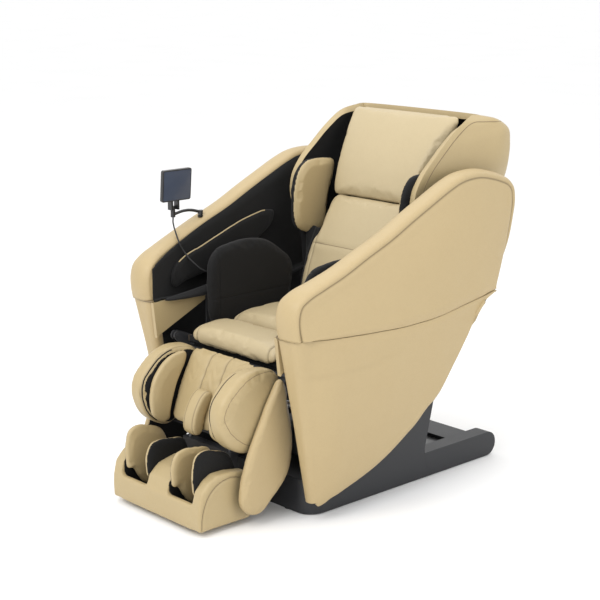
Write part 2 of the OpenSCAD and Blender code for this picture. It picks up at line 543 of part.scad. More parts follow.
pt = pillow_t / 2;
module head_pillow() color(tan_c) cushion([
  face(350, 914, 32, 178, pt * 0.25), face(343, 921, 31, 192, pt * 0.6), face(343, 945, 28, 202, pt * 0.9),
  face(362, 1000, 28, 210, pt), face(390, 1053, 29, 220, pt), face(420, 1100, 31, 234, pt),
  face(446, 1137, 33, 245, pt), face(478, 1176, 36, 255, pt * 0.9), face(500, 1198, 39, 258, pt * 0.65),
  face(518, 1209, 42, 250, pt * 0.25)]);

shoulder_o = [[412, 1018], [340, 1030], [267, 1022], [232, 985], [217, 938], [210, 870], [226, 790], [290, 758], [352, 756],
  [372, 800], [392, 900], [412, 970]];
module shoulder_pad_left() color(tan_c) pad(shoulder_o, 238, 295.1 - wing_t);
module shoulder_pad_right() color(tan_c) mirror([1, 0, 0]) pad(shoulder_o, 238, 295.1 - wing_t);

car_s = 130;                     // carriage's place up the rails at rest
module massage_carriage() color([0.25, 0.26, 0.28]) leaning(rail_0, lean) translate([0, 0, car_s]) difference() {
  union() {
    both() translate([rail_x, 0, -40]) cylinder(r = rail_r + 7, h = 80);
    translate([-rail_x, 2, -30]) cube([2 * rail_x, 34, 60]);
    translate([-18, -14, -20]) cube([36, 24, 40]);
    translate([-58, 36, -24]) cube([116, 30, 48]);
    both() translate([44, -18, -12]) cube([6, 24, 24]);
    both() translate([84, -18, -12]) cube([6, 24, 24]);
    both() xrod([-12, 0], 5, 44, 90);
  }
  both() translate([rail_x, 0, -60]) cylinder(r = rail_r + run_gap, h = 120);
  translate([0, 0, -60]) cylinder(r = 6 + run_gap, h = 120);
}

module knead_arm() leaning(rail_0, lean) translate([0, -12, car_s]) difference() {
  union() {
    xrod([0, 0], 10, 56, 78);
    yz(60, 74) polygon([[0, -9], [0, 9], [-20, 8], [-20, -8]]);
    translate([67, -24, 0]) scale([1.1, 1, 1]) sphere(r = 16);
  }
  xrod([0, 0], 5 + run_gap, 40, 100);
}
module knead_arm_left() color([0.85, 0.83, 0.78]) knead_arm();
module knead_arm_right() color([0.85, 0.83, 0.78]) mirror([1, 0, 0]) knead_arm();

// ---- leg rest -------------------------------------------------------------------------------------
calf_out = 232;
module leg_frame() color(steel_c) {
  both() difference() {
    yz(ear_x, ear_x + ear_t) {
      polygon([knee_c + [-10, -8], knee_c + [12, 4], [-246, 450], [-262, 436]]);
      translate(knee_c) circle(r = 13);
      translate([-256, 446]) circle(r = 12);
    }
    xrod(knee_c, knee_pin_r + run_gap, 260, 290);
  }
  xrod([-256, 446], 9, -ear_x, ear_x);
  both() yz(90, 104) polygon(concat([for (c = calf_line) [c[0], c[1]] - [cos(208), sin(208)] * (c[2] * 0.955 + 0.4)],
    [leg_0 + [0, 0], leg_0 - 200 * [sin(leg_lean), cos(leg_lean)]]));
  leaning(leg_0, leg_lean) {
    translate([-239.7, 0, -244]) cube([479.4, 5, 244]);
    both() for (z = [-85, -215]) difference() {
      union() {
        translate([rod_x, 17, z]) cylinder(r = rod_r + 5, h = 40);
        translate([rod_x - 8, 4, z]) cube([16, 10, 40]);
      }
      translate([rod_x, 17, z - 5]) cylinder(r = rod_r + run_gap, h = 50);
    }
  }
}

calf_in = calf_out - calf_wall_t;
calf_line = [[-396, 300, 20], [-380, 340, 21], [-362, 385, 23], [-345, 418, 24], [-325, 455, 25]];
calf_xs = [-1, -0.97, -0.8, -0.5, -0.34, -0.26, -0.18, 0, 0.18, 0.26, 0.34, 0.5, 0.8, 0.97, 1];
calf_w = calf_in - 1;
module calf_rest() color(tan_c) cushion([
  [-311, 481, 208, calf_w - 14, 14], [-315.5, 475, 208, calf_w - 3, 22], [-325, 455, 208, calf_w, 25],
  [-345, 418, 208, calf_w, 24], [-362, 385, 208, calf_w, 23], [-380, 340, 208, calf_w, 21],
  [-396, 300, 208, calf_w, 20], [-408, 270, 208, calf_w - 2, 17], [-417, 252, 208, calf_w - 12, 9]],
  xs = calf_xs, seams = [[-41, 0.3, 6], [41, 0.3, 6]]);

calf_wall_o = [[-296, 474], [-350, 489], [-413, 484], [-452, 466], [-486, 437], [-513, 406], [-524, 374], [-519, 322],
  [-497, 276], [-456, 242], [-410, 226], [-388, 232], [-361.8, 262], [-321.6, 336], [-280.3, 412], [-272, 444]];
wall_outer = [[0.42, 1], [0.7, 0.93], [0.86, 0.7], [0.97, 0.3]];
module calf_wall_left() color(tan_c) pad(calf_wall_o, calf_in, calf_out, outer = wall_outer);
module calf_wall_right() color(tan_c) mirror([1, 0, 0]) pad(calf_wall_o, calf_in, calf_out, outer = wall_outer);

// Air pads stand in front of the calf rest, against the walls and the divider.
calf_air_o = [[-352, 474], [-400, 475], [-440, 457], [-468, 431], [-490, 400], [-501, 365], [-503, 320],
  [-496, 284], [-476, 262], [-446, 249], [-431, 252], [-421, 286], [-405, 329], [-389, 373], [-373, 407], [-355, 443]];
module calf_air_left() color(tan_c) pad(calf_air_o, calf_in - 0.3 - air_t, calf_in - 0.3);
module calf_air_right() color(tan_c) mirror([1, 0, 0]) pad(calf_air_o, calf_in - 0.3 - air_t, calf_in - 0.3);

divider_o = [[-385, 378], [-402, 386], [-425, 374], [-447, 346], [-462, 315], [-468, 285], [-464, 256], [-449, 243],
  [-433, 247], [-423.5, 263.5], [-413.9, 291.5], [-398.5, 331.5]];
module calf_divider() color(tan_c) pad(divider_o, -32, 32);

leaf_o = [[-301, 459], [-348, 409], [-393, 331], [-431, 261], [-453, 207], [-473, 123], [-470, 77], [-442, 44], [-397, 34],
  [-345, 70], [-268, 147], [-252, 210], [-255, 300], [-272, 380], [-284, 436]];
module leg_cover_left() color(tan_c) pad(leaf_o, 240, 240 + leaf_t);
module leg_cover_right() color(tan_c) mirror([1, 0, 0]) pad(leaf_o, 240, 240 + leaf_t);

// ---- foot rest ------------------------------------------------------------------------------------
foot_out = 222;
foot_in = foot_out - foot_wall_t;
foot_o = [[-600, 18], [-603, 60], [-600, 99], [-591, 140], [-562, 170], [-526, 187], [-484, 186], [-410, 174], [-388, 110],
  [-390, 30], [-402, 16]];
module foot_shell() color(tan_c) {
  both() yz(foot_in, foot_out) polygon(foot_o);
  yz(-foot_mid, foot_mid) polygon([[-600, 18], [-603, 60], [-598, 96], [-584, 136], [-548, 166], [-484, 180], [-410, 174],
    [-392, 110], [-392, 30], [-402, 16]]);
  translate([-foot_in, -598, 16]) cube([2 * foot_in, 200, 16]);
  translate([-foot_in, -602, 18]) cube([2 * foot_in, 22, 80]);
  translate([-foot_in, -412, 16]) cube([2 * foot_in, 20, 130]);
}

module foot_slide() color(steel_c) {
  translate([-rod_x - 20, -391.8, 110]) cube([2 * rod_x + 40, 30, 90]);
  leaning(leg_0, leg_lean)
  both() translate([rod_x, 17, -288]) cylinder(r = rod_r, h = 260);
}

foot_air_o = [[-587, 106], [-592, 156], [-588, 210], [-572, 250], [-540, 262], [-497, 253], [-440, 226], [-424, 200],
  [-420, 60], [-430, 32.3], [-560, 32.3], [-572, 60], [-574, 100]];
module foot_air_outer() color(black_c) both() pad(foot_air_o, foot_in - 0.3 - foot_air_t, foot_in - 0.3);
foot_air_i = [[-587, 106], [-590, 145], [-584, 204], [-564, 232], [-537, 238], [-485, 234], [-430, 216], [-418, 190],
  [-420, 60], [-430, 32.3], [-560, 32.3], [-572, 60], [-574, 100]];
module foot_air_inner() color(black_c) both() pad(foot_air_i, foot_mid + 0.3, foot_mid + 0.3 + foot_air_t);

floor_pan();
base_cover();
rear_leg_left();
rear_leg_right();
rear_bridge();
rubber_feet();
tilt_stand();
tilt_axle();
tilt_motor();
power_unit();
power_inlet();
power_switch();
wheel_left();
wheel_right();
seat_frame();
seat_pan();
seat_cushion_front();
seat_cushion_rear();
panel_lower_left();
panel_lower_right();
panel_upper_left();
panel_upper_right();
arm_lining_left();
arm_lining_right();
arm_base_left();
arm_base_right();
arm_gusset_left();
arm_gusset_right();
forearm_pad_left();
forearm_pad_right();
hand_pad_left();
hand_pad_right();
remote_mount();
cable_grommet();
remote_cable();
back_frame();
lead_screw();
back_shell();
back_cushion();
head_pillow();
shoulder_pad_left();
shoulder_pad_right();
massage_carriage();
knead_arm_left();
knead_arm_right();
leg_frame();
calf_rest();
calf_wall_left();
calf_wall_right();
calf_air_left();
calf_air_right();
calf_divider();
leg_cover_left();
leg_cover_right();
foot_shell();
foot_slide();
foot_air_outer();
foot_air_inner();
remote_arm();
remote_control();
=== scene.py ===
# %% [markdown]
# # A reclining massage chair, dressed over its imported frame
#
# The frame holds every hard part at its true size: base, axles, rails, brackets and the simple
# solids that stand for upholstery. This lesson dresses it: leather shells, cushions, air pads,
# piping and stitches, the tablet remote, and a finish for each part that stays as it is.

# %% Load the frame
import json
import math
import bmesh
import bpy
import numpy as np
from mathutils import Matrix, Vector
from mathutils.bvhtree import BVHTree


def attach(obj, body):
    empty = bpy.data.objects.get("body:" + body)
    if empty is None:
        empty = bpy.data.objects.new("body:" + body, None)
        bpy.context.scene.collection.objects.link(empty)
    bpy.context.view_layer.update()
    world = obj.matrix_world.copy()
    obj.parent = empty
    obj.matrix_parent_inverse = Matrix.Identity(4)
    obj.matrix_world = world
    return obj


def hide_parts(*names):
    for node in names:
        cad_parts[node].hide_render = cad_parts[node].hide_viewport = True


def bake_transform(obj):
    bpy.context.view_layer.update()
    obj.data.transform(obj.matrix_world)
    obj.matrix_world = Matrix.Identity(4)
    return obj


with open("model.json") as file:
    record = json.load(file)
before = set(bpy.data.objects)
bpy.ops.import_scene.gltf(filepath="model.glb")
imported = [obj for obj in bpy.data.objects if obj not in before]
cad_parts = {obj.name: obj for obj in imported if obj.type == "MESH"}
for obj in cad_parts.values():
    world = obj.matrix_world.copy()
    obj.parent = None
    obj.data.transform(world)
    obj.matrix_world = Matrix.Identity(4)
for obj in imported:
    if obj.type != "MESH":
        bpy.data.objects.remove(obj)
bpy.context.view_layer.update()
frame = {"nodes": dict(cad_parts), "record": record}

# %% [markdown]
# The camera comes first, with the remote's cable, because the cable is the one piece whose length is checked
# against what the camera can see. The camera stands to the front left of the sitter, a little above arm
# height, with a long lens, so that the uprights stay nearly parallel.

# %% Camera
CAM_AT = Vector((3.4735, -3.2033, 1.7440))
SENSOR, LENS, FAR = 36, 88.08, 300
CAM_TURN, CAM_RISE = math.radians(47.171), math.radians(13.497)
back_way = Vector((math.sin(CAM_TURN) * math.cos(CAM_RISE), -math.cos(CAM_TURN) * math.cos(CAM_RISE),
                   math.sin(CAM_RISE)))


def new_object(name, data):
    obj = bpy.data.objects.new(name, data)
    bpy.context.scene.collection.objects.link(obj)
    return obj


def aim(obj, at, way):
    """Sets a camera or light at a place, looking along a direction."""
    obj.location = at
    obj.rotation_mode = "QUATERNION"
    obj.rotation_quaternion = way.to_track_quat("-Z", "Y")


camera = new_object("camera", bpy.data.cameras.new("camera"))
aim(camera, CAM_AT, -back_way)
camera.data.sensor_width, camera.data.lens, camera.data.clip_end = SENSOR, LENS, FAR
bpy.context.scene.camera = camera
print("camera at", tuple(round(c, 3) for c in CAM_AT))

# %% [markdown]
# The cable is one smooth curve through the same points as its solid in the frame: straight down out
# of the remote's neck, over the crown of the armrest, down its black lining and into a grommet in
# the channel floor. A curve object with a round bevel keeps its own centreline, which is what the
# length check measures.

# %% Remote cable
CABLE_D = 0.005
cable_mm = [(-381, -212, 863.7), (-381, -212, 857), (-380.5, -213, 849), (-379, -212, 837),
            (-374.5, -212, 825), (-366, -214, 814), (-355.5, -218, 805), (-345, -221, 794),
            (-337.5, -222, 783), (-335, -212, 765), (-330, -204, 748), (-322.5, -200, 737),
            (-314, -194, 726), (-306, -187, 716), (-299, -178, 705), (-293, -167, 694),
            (-288, -149, 683), (-285.3, -124, 673), (-285, -117, 665), (-285, -115, 655), (-285, -115, 636)]
cable_m = [Vector(p) / 1000 for p in cable_mm]


def line_curve(name, points, radius, sides):
    """A poly curve with a round bevel through points in metres."""
    data = bpy.data.curves.new(name, "CURVE")
    data.dimensions = "3D"
    data.bevel_depth = radius
    data.bevel_resolution = sides
    data.use_fill_caps = True
    spline = data.splines.new("POLY")
    spline.points.add(len(points) - 1)
    for p, q in zip(spline.points, points):
        p.co = (*q, 1)
    return new_object(name, data)


def through(points, steps, closed=False):
    """Points on a smooth line through rows of points; the first axis is the one that is filled in."""
    p = np.asarray(points, float)
    if closed:
        p = np.concatenate([p[-2:], p, p[:3]])
    gap = np.linalg.norm(np.diff(p, axis=0), axis=-1, keepdims=True) + 1e-9
    slope = np.diff(p, axis=0) / gap
    way = np.empty_like(p)
    way[1:-1] = (slope[:-1] * gap[1:] + slope[1:] * gap[:-1]) / (gap[:-1] + gap[1:])
    way[0], way[-1] = slope[0], slope[-1]
    t = (np.arange(steps) / steps).reshape((-1,) + (1,) * (p.ndim - 1))
    rows = []
    span = range(2, len(p) - 3) if closed else range(len(p) - 1)
    for i in span:
        a, b, g = p[i][None], p[i + 1][None], gap[i][None]
        rows.append((2 * t**3 - 3 * t**2 + 1) * a + (t**3 - 2 * t**2 + t) * g * way[i][None]
                    + (3 * t**2 - 2 * t**3) * b + (t**3 - t**2) * g * way[i + 1][None])
    out = np.concatenate(rows)
    return out if closed else np.concatenate([out, p[-1:]])


cable_line = through(cable_m, 3)
cable = line_curve("remote_cable_skin", [Vector(p) for p in cable_line], CABLE_D / 2, sides=4)
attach(cable, "seat")
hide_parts("remote_cable")

# %% [markdown]
# Materials are node graphs. One small class wraps a socket so that the maths of a pattern reads as
# ordinary Python: `1 - mask`, `a * b`. A second class holds a material and adds any other node.

# %% Socket wrapper and material builder
class Sock:
    """A node output whose operators add Math nodes."""

    def __init__(self, paint, out):
        self.paint, self.out = paint, out

    def _m(self, kind, *args, clamp=False):
        node = self.paint.tree.nodes.new("ShaderNodeMath")
        node.operation, node.use_clamp = kind, clamp
        for k, a in enumerate(args):
            if isinstance(a, Sock):
                self.paint.tree.links.new(a.out, node.inputs[k])
            else:
                node.inputs[k].default_value = a
        return Sock(self.paint, node.outputs[0])

    def __add__(self, b): return self._m("ADD", self, b)
    def __radd__(self, b): return self._m("ADD", b, self)
    def __sub__(self, b): return self._m("SUBTRACT", self, b)
    def __rsub__(self, b): return self._m("SUBTRACT", b, self)
    def __mul__(self, b): return self._m("MULTIPLY", self, b)
    def __rmul__(self, b): return self._m("MULTIPLY", b, self)
    def clamp(self): return self._m("ADD", self, 0.0, clamp=True)
    def sine(self): return self._m("SINE", self)
    def abs(self): return self._m("ABSOLUTE", self)


class Paint:
    """A material with a Principled shader and a method that adds any node."""

    def __init__(self, name, **plain):
        self.mat = bpy.data.materials.new(name)
        self.mat.use_nodes = True
        self.tree = self.mat.node_tree
        self.shader = self.tree.nodes["Principled BSDF"]
        for socket, value in plain.items():
            self.shader.inputs[socket.replace("_", " ")].default_value = value
        self.place = self.node("ShaderNodeTexCoord", out="Object")

    def node(self, kind, out=0, settings=None, **values):
        node = self.tree.nodes.new(kind)
        for key, value in (settings or {}).items():
            setattr(node, key, value)
        for key, value in values.items():
            socket = node.inputs[int(key[1:])] if key[1:].isdigit() else node.inputs[key.replace("_", " ")]
            if isinstance(value, Sock):
                self.tree.links.new(value.out, socket)
            else:
                socket.default_value = value
        return Sock(self, node.outputs[out])

    def noise(self, scale, detail=3, rough=0.5, at=None):
        return self.node("ShaderNodeTexNoise", out="Fac", Vector=at or self.place, Scale=scale, Detail=detail,
                         Roughness=rough)

    def cells(self, scale):
        return self.node("ShaderNodeTexVoronoi", out="Distance", settings={"feature": "DISTANCE_TO_EDGE"},
                         Vector=self.place, Scale=scale)

    def mix(self, share, a, b):
        return self.node("ShaderNodeMix", out=2, settings={"data_type": "RGBA"}, _0=share, _6=a, _7=b)

    def attribute(self, name):
        return self.node("ShaderNodeAttribute", out="Fac", settings={"attribute_name": name})

    def axis(self, k):
        return self.node("ShaderNodeSeparateXYZ", out=k, Vector=self.place)

    def done(self, colour=None, rough=None, height=None, depth=0.0004, strength=0.6):
        if colour is not None:
            self.tree.links.new(colour.out, self.shader.inputs["Base Color"])
        if rough is not None:
            self.tree.links.new(rough.out, self.shader.inputs["Roughness"])
        if height is not None:
            bump = self.node("ShaderNodeBump", Height=height, Distance=depth, Strength=strength)
            self.tree.links.new(bump.out, self.shader.inputs["Normal"])
        return self.mat


print("material builder ready")

# %% [markdown]
# The leather is a coated, satin hide in tan. The seat, back and pillow take a copy that is a little
# paler: painted light, for the light that falls on their upward faces. The hide's grain is a fine pebble of
# irregular cells, about two millimetres across, with faint wandering creases and a slow drift of tone.
# Seams carry a point attribute called "seam": there the colour is painted darker, as painted shade in
# the seam's fold, and the finish turns a little duller. The grain's valleys and the creases are painted
# a touch darker too, as painted shade.

# %% Leather
def leather(name, base, dark, rough=0.40):
    p = Paint(name, Specular_IOR_Level=0.42, Coat_Roughness=0.35)
    cells = p.cells(520)
    pebble = (cells * 6.0).clamp()
    fine = p.noise(1500, 2)
    crease = p.noise(38, 4, 0.62)
    fold = 1 - ((crease - 0.5).abs() * 26).clamp()
    drift = p.noise(3.2, 3, 0.55)
    blotch = p.noise(17, 3)
    seam = p.attribute("seam")
    tone = ((drift - 0.5) * 0.42 + (blotch - 0.5) * 0.2 + 0.35).clamp()
    body = p.mix(tone, (*base, 1), (*dark, 1))
    # Painted shade: the colour darkens towards a deep brown along the seam attribute, and a touch in the
    # grain's valleys and creases.
    shade = (seam * 0.72 + (1 - pebble) * 0.05 + fold * 0.03).clamp()
    deep = tuple(c * 0.36 for c in dark)
    colour = p.mix(shade, body, (*deep, 1))
    roughness = rough + (blotch - 0.5) * 0.12 + seam * 0.2 + (1 - pebble) * 0.06
    height = pebble * 0.35 + fine * 0.12 - fold * 0.3 + crease * 0.5
    return p.done(colour, roughness, height, 0.0006, 0.42)


TAN = leather("tan_hide", (0.418, 0.326, 0.174), (0.370, 0.281, 0.144))
# Painted light: a paler copy of the tan for the seat, back and pillow, lighter for the light on their upward
# faces.
TAN_LIT = leather("pale_hide", (0.455, 0.372, 0.224), (0.404, 0.322, 0.188))
TAN_SIDE = leather("tan_hide_side", (0.432, 0.333, 0.178), (0.397, 0.297, 0.153), 0.43)
# Painted shade: a darker tan for the seam cords, the seam tape and the wing seams, for the shade in the seam
# grooves they lie in.
SEAM_SHADE_TAN = leather("tan_hide_seam", (0.190, 0.140, 0.075), (0.150, 0.108, 0.055), 0.55)
print("leather:", TAN.name, TAN_LIT.name, TAN_SIDE.name, SEAM_SHADE_TAN.name)

# %% [markdown]
# The arm and foot channels are lined with a black knitted cloth. A knit shows as small rows of
# raised loops: two crossing sine waves, offset by a little noise so that no row is ruler straight.

# %% Black cloth and other finishes
def cloth(name, base, pitch=0.0016):
    p = Paint(name, Sheen_Weight=0.06, Sheen_Roughness=0.5, Specular_IOR_Level=0.25)
    wave = 2 * math.pi / pitch
    wobble = p.noise(60, 2) * 1.5
    rows = ((p.axis(2) + p.axis(0) * 0.6) * wave + wobble).sine()
    cols = ((p.axis(1) + p.axis(0) * 0.8) * wave + wobble).sine()
    knit = (rows * cols * 0.5 + 0.5).clamp()
    drift = p.noise(9, 3)
    seam = p.attribute("seam")
    light = tuple(min(1, c * 2.1 + 0.006) for c in base)
    tone = (knit * 0.4 + (drift - 0.4) * 0.7).clamp()
    colour = p.mix(tone, (*base, 1), (*light, 1))
    # Painted shade: along its seams the cloth is mixed towards near black, for the shade in the seam grooves.
    colour = p.mix((seam * 0.8).clamp(), colour, (0.003, 0.003, 0.003, 1))
    return p.done(colour, 0.78 + (drift - 0.5) * 0.2, knit + drift * 0.6, 0.0005, 0.5)


def moulded(name, base, rough, grain=900.0, depth=0.00012, coat=0.0, metallic=0.0):
    p = Paint(name, Metallic=metallic, Coat_Weight=coat)
    speck = p.noise(grain, 2)
    drift = p.noise(5, 3)
    light = tuple(min(1, c * 1.25 + 0.004) for c in base)
    colour = p.mix((drift * 0.8 + speck * 0.2).clamp(), (*base, 1), (*light, 1))
    return p.done(colour, rough + (speck - 0.5) * 0.1 + (drift - 0.5) * 0.14, speck, depth, 0.5)


def turned(name, base, rough):
    """Turned or drawn steel: fine rings that follow the bar's own axis."""
    p = Paint(name, Metallic=1.0)
    lines = p.noise(1.0, 2, 0.5, p.node("ShaderNodeVectorMath", settings={"operation": "MULTIPLY"},
                                        _0=p.place, _1=(2200, 40, 40)))
    drift = p.noise(8, 3)
    dull = tuple(c * 0.8 for c in base)
    colour = p.mix((drift * 0.7).clamp(), (*base, 1), (*dull, 1))
    return p.done(colour, rough + (lines - 0.5) * 0.2, lines, 0.0001, 0.4)


def wood(name):
    p = Paint(name)
    rings = p.noise(1.0, 4, 0.6, p.node("ShaderNodeVectorMath", settings={"operation": "MULTIPLY"},
                                        _0=p.place, _1=(6, 90, 160)))
    colour = p.mix(rings, (0.36, 0.22, 0.11, 1), (0.58, 0.42, 0.25, 1))
    return p.done(colour, 0.6 + (rings - 0.5) * 0.2, rings, 0.0003, 0.5)


BLACK = cloth("black_knit", (0.0021, 0.0020, 0.0021))
LINING = cloth("black_lining", (0.0028, 0.0028, 0.0029), 0.0022)
FINISH = {
    "tan_leather": TAN, "black_fabric": BLACK,
    "grey_plastic": moulded("grey_shell", (0.0092, 0.0100, 0.0124), 0.46, 1100, 0.00015),
    "black_plastic": moulded("black_shell", (0.012, 0.012, 0.013), 0.34, 1400, 0.00006, 0.2),
    "power_housing": moulded("power_grey", (0.11, 0.115, 0.12), 0.5),
    "switch_red": moulded("rocker_red", (0.32, 0.015, 0.012), 0.3, 1400, 0.00004, 0.4),
    "roller_plastic": moulded("roller_cream", (0.7, 0.64, 0.52), 0.32, 1400, 0.00004, 0.3),
    "steel_paint": moulded("frame_paint", (0.030, 0.031, 0.034), 0.42, 700, 0.00018),
    "bright_steel": turned("bright_bar", (0.58, 0.58, 0.6), 0.28),
    "plywood": wood("ply_board"),
    "rubber": moulded("black_rubber", (0.010, 0.010, 0.0105), 0.68, 1600, 0.00015),
}
slot_of = {s["node"]: s["material_slot"] for s in frame["record"]["subparts"]}
for node_name, node_obj in frame["nodes"].items():
    node_obj.data.materials.clear()
    node_obj.data.materials.append(FINISH[slot_of[node_name]])
cable.data.materials.append(FINISH["rubber"])
print("finishes:", len(FINISH))

# %% [markdown]
# Helpers for pieces. `finish_piece` gives a mesh its finish, body and the solid that it stands
# for. `groove` presses a seam in and notes it for the leather, and `zone` gives some of the faces
# another finish. `strip` makes a thread of piping along a seam, and `stitches` lays a row of small thread
# capsules on a finished surface, each turned to lie along it.

# %% Piece helpers
def obj_from(bm, name):
    data = bpy.data.meshes.new(name)
    bm.to_mesh(data)
    bm.free()
    return new_object(name, data)


def finish_piece(obj, body, mats, stands_for=(), flat=False):
    kept = np.zeros(len(obj.data.polygons), dtype=np.int32)
    obj.data.polygons.foreach_get("material_index", kept)
    obj.data.materials.clear()
    for m in mats if isinstance(mats, (list, tuple)) else [mats]:
        obj.data.materials.append(m)
    obj.data.polygons.foreach_set("material_index", np.minimum(kept, len(obj.data.materials) - 1))
    if obj.type == "MESH":
        obj.data.polygons.foreach_set("use_smooth", [not flat] * len(obj.data.polygons))
        obj.data.update()
    if body:
        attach(obj, body)
    if stands_for:
        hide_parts(*([stands_for] if isinstance(stands_for, str) else stands_for))
    return obj


def coords(obj):
    co = np.empty(len(obj.data.vertices) * 3)
    obj.data.vertices.foreach_get("co", co)
    return co.reshape(-1, 3)


def set_coords(obj, co):
    obj.data.vertices.foreach_set("co", np.asarray(co, float).ravel())
    obj.data.update()


def normals(obj):
    n = np.empty(len(obj.data.vertices) * 3)
    obj.data.vertices.foreach_get("normal", n)
    return n.reshape(-1, 3)


def mark_seam(obj, value):
    a = obj.data.attributes.get("seam") or obj.data.attributes.new("seam", "FLOAT", "POINT")
    a.data.foreach_set("value", np.clip(value, 0, 1).astype(np.float32))


def seam_of(obj):
    values = np.zeros(len(obj.data.vertices))
    if "seam" in obj.data.attributes:
        obj.data.attributes["seam"].data.foreach_get("value", values)
    return values


def zone(obj, test, index=1):
    """Sets another finish on the faces where the test holds."""
    for f in obj.data.polygons:
        if test(f.center, f.normal):
            f.material_index = index


def flip(line, s):
    """The line itself for s = 1, and its mirror image for s = -1."""
    return np.asarray(line) * np.array([s, 1, 1])


def soften(bm, edges, offset, segments, **more):
    """Rounds edges off with the bevel operator."""
    bmesh.ops.bevel(bm, geom=edges, offset=offset, segments=segments, profile=0.5, affect="EDGES",
                    **{"material": -1, **more})


def line_distance(points, line, closed=False):
    """Distance from each point to a chain of straight pieces, in two or three dimensions."""
    line = np.asarray(line, float)
    ends = np.roll(line, -1, axis=0) if closed else line[1:]
    starts = line if closed else line[:-1]
    best = np.full(len(points), 1e9)
    for a, b in zip(starts, ends):
        ab = b - a
        t = np.clip(((points - a) @ ab) / max(ab @ ab, 1e-12), 0, 1)
        best = np.minimum(best, np.linalg.norm(points - (a + t[:, None] * ab), axis=1))
    return best


# Besides pressing a seam in, groove writes the "seam" attribute, which the leather and cloth turn into
# painted shade along it.
def groove(obj, distance, width=0.0028, depth=0.0018, roll=0.012, swell=0.0):
    w = np.exp(-(distance / width) ** 2)
    puff = swell * np.exp(-((distance - roll) / roll) ** 2)
    set_coords(obj, coords(obj) + normals(obj) * (puff - depth * w)[:, None])
    mark_seam(obj, np.maximum(seam_of(obj), np.exp(-(distance / (width * 0.75)) ** 2)))


def strip(name, points, radius, body, mat):
    tube = line_curve(name, [Vector(p) for p in points], radius, 2)
    data = bpy.data.meshes.new_from_object(tube)
    bpy.data.objects.remove(tube)
    return finish_piece(new_object(name, data), body, mat)


def snapped(obj, points):
    """The points moved onto a finished surface, with its normals there."""
    tree = BVHTree.FromPolygons([v.co for v in obj.data.vertices], [p.vertices for p in obj.data.polygons])
    out = []
    for p in points:
        at, n, _, _ = tree.find_nearest(Vector(p))
        out.append((at, n))
    return out


THREAD = moulded("tan_thread", (0.42, 0.31, 0.17), 0.7, 2500, 0.0001)
# A stitch's pitch, half width and half height, in metres.
STITCH_PITCH, STITCH_WIDE, STITCH_HIGH = 0.0065, 0.0006, 0.00045
SIDES = (("l", 1), ("r", -1))


def stitches(name, obj, points, body, aside=0.0):
    """A row of thread capsules along a line that is laid onto obj's surface."""
    line = np.asarray(points, float)
    run = np.concatenate([[0], np.cumsum(np.linalg.norm(np.diff(line, axis=0), axis=1))])
    s = np.arange(STITCH_PITCH / 2, run[-1], STITCH_PITCH)
    pts = np.stack([np.interp(s, run, line[:, k]) for k in range(3)], 1)
    laid = snapped(obj, pts)
    bm = bmesh.new()
    for i, (at, n) in enumerate(laid):
        a = laid[max(i - 1, 0)][0]
        b = laid[min(i + 1, len(laid) - 1)][0]
        way = b - a
        if way.length < 1e-6:
            continue
        way.normalize()
        side = n.cross(way)
        if side.length < 1e-6:
            continue
        side.normalize()
        made = bmesh.ops.create_icosphere(bm, subdivisions=1, radius=1)["verts"]
        for v in made:
            v.co = (at + side * (aside + v.co.y * STITCH_WIDE) + way * v.co.x * STITCH_PITCH * 0.36
                    + n * v.co.z * STITCH_HIGH)
    return finish_piece(obj_from(bm, name), body, THREAD)


print("helpers ready")

# %% [markdown]
# The side panels are thin padded shells that wrap the whole chair. Each is drawn as rows of control
# points, filled in smoothly both ways, then laid over a plain grid made by an operator. Solidify
# gives the shell its thickness, and the grid's own rows say where the seams run.

# %% Shell helpers
def smooth_grid(rows, steps_u, steps_v):
    a = through(rows, steps_u)
    b = through(np.swapaxes(a, 0, 1), steps_v)
    return np.swapaxes(b, 0, 1)


def grid_object(name, table):
    """A grid operator's mesh whose points are moved onto a table of places."""
    m, n = table.shape[:2]
    bm = bmesh.new()
    bmesh.ops.create_grid(bm, x_segments=m - 1, y_segments=n - 1, size=1)
    for v in bm.verts:
        i, j = round((v.co.x + 1) / 2 * (m - 1)), round((v.co.y + 1) / 2 * (n - 1))
        v.co = table[i, j]
    return obj_from(bm, name)


def use_modifier(obj, kind, **settings):
    mod = obj.modifiers.new(kind.lower(), kind)
    for key, value in settings.items():
        setattr(mod, key, value)
    bpy.context.view_layer.update()
    data = bpy.data.meshes.new_from_object(obj.evaluated_get(bpy.context.evaluated_depsgraph_get()))
    obj.modifiers.clear()
    old = obj.data
    obj.data = data
    bpy.data.meshes.remove(old)
    return obj


def thicken(obj, thickness, **more):
    """Gives a sheet its thickness, from the drawn face inwards."""
    return use_modifier(obj, "SOLIDIFY", thickness=thickness, offset=-1, use_even_offset=False, **more)


def mirrored(obj, name):
    """A copy on the other side, with its faces turned to point outwards again."""
    bm = bmesh.new()
    bm.from_mesh(obj.data)
    bmesh.ops.scale(bm, vec=(-1, 1, 1), verts=bm.verts)
    bmesh.ops.reverse_faces(bm, faces=bm.faces)
    return obj_from(bm, name)


BULGE_AT = ([-390, -300, -200, 0, 200, 400, 620], [408, 430, 447, 468, 475, 465, 439])
CREASE_AT = ([-386, -300, -200, 620], [405, 415, 424, 426])
INNER_AT = ([-386, -345, -300, -230, -150, 620], [313, 322, 336, 350, 357, 357])


def half_w(y): return float(np.interp(y, *BULGE_AT))
def crease_x(y): return float(np.interp(y, *CREASE_AT))
def inner_x(y): return float(np.interp(y, *INNER_AT))


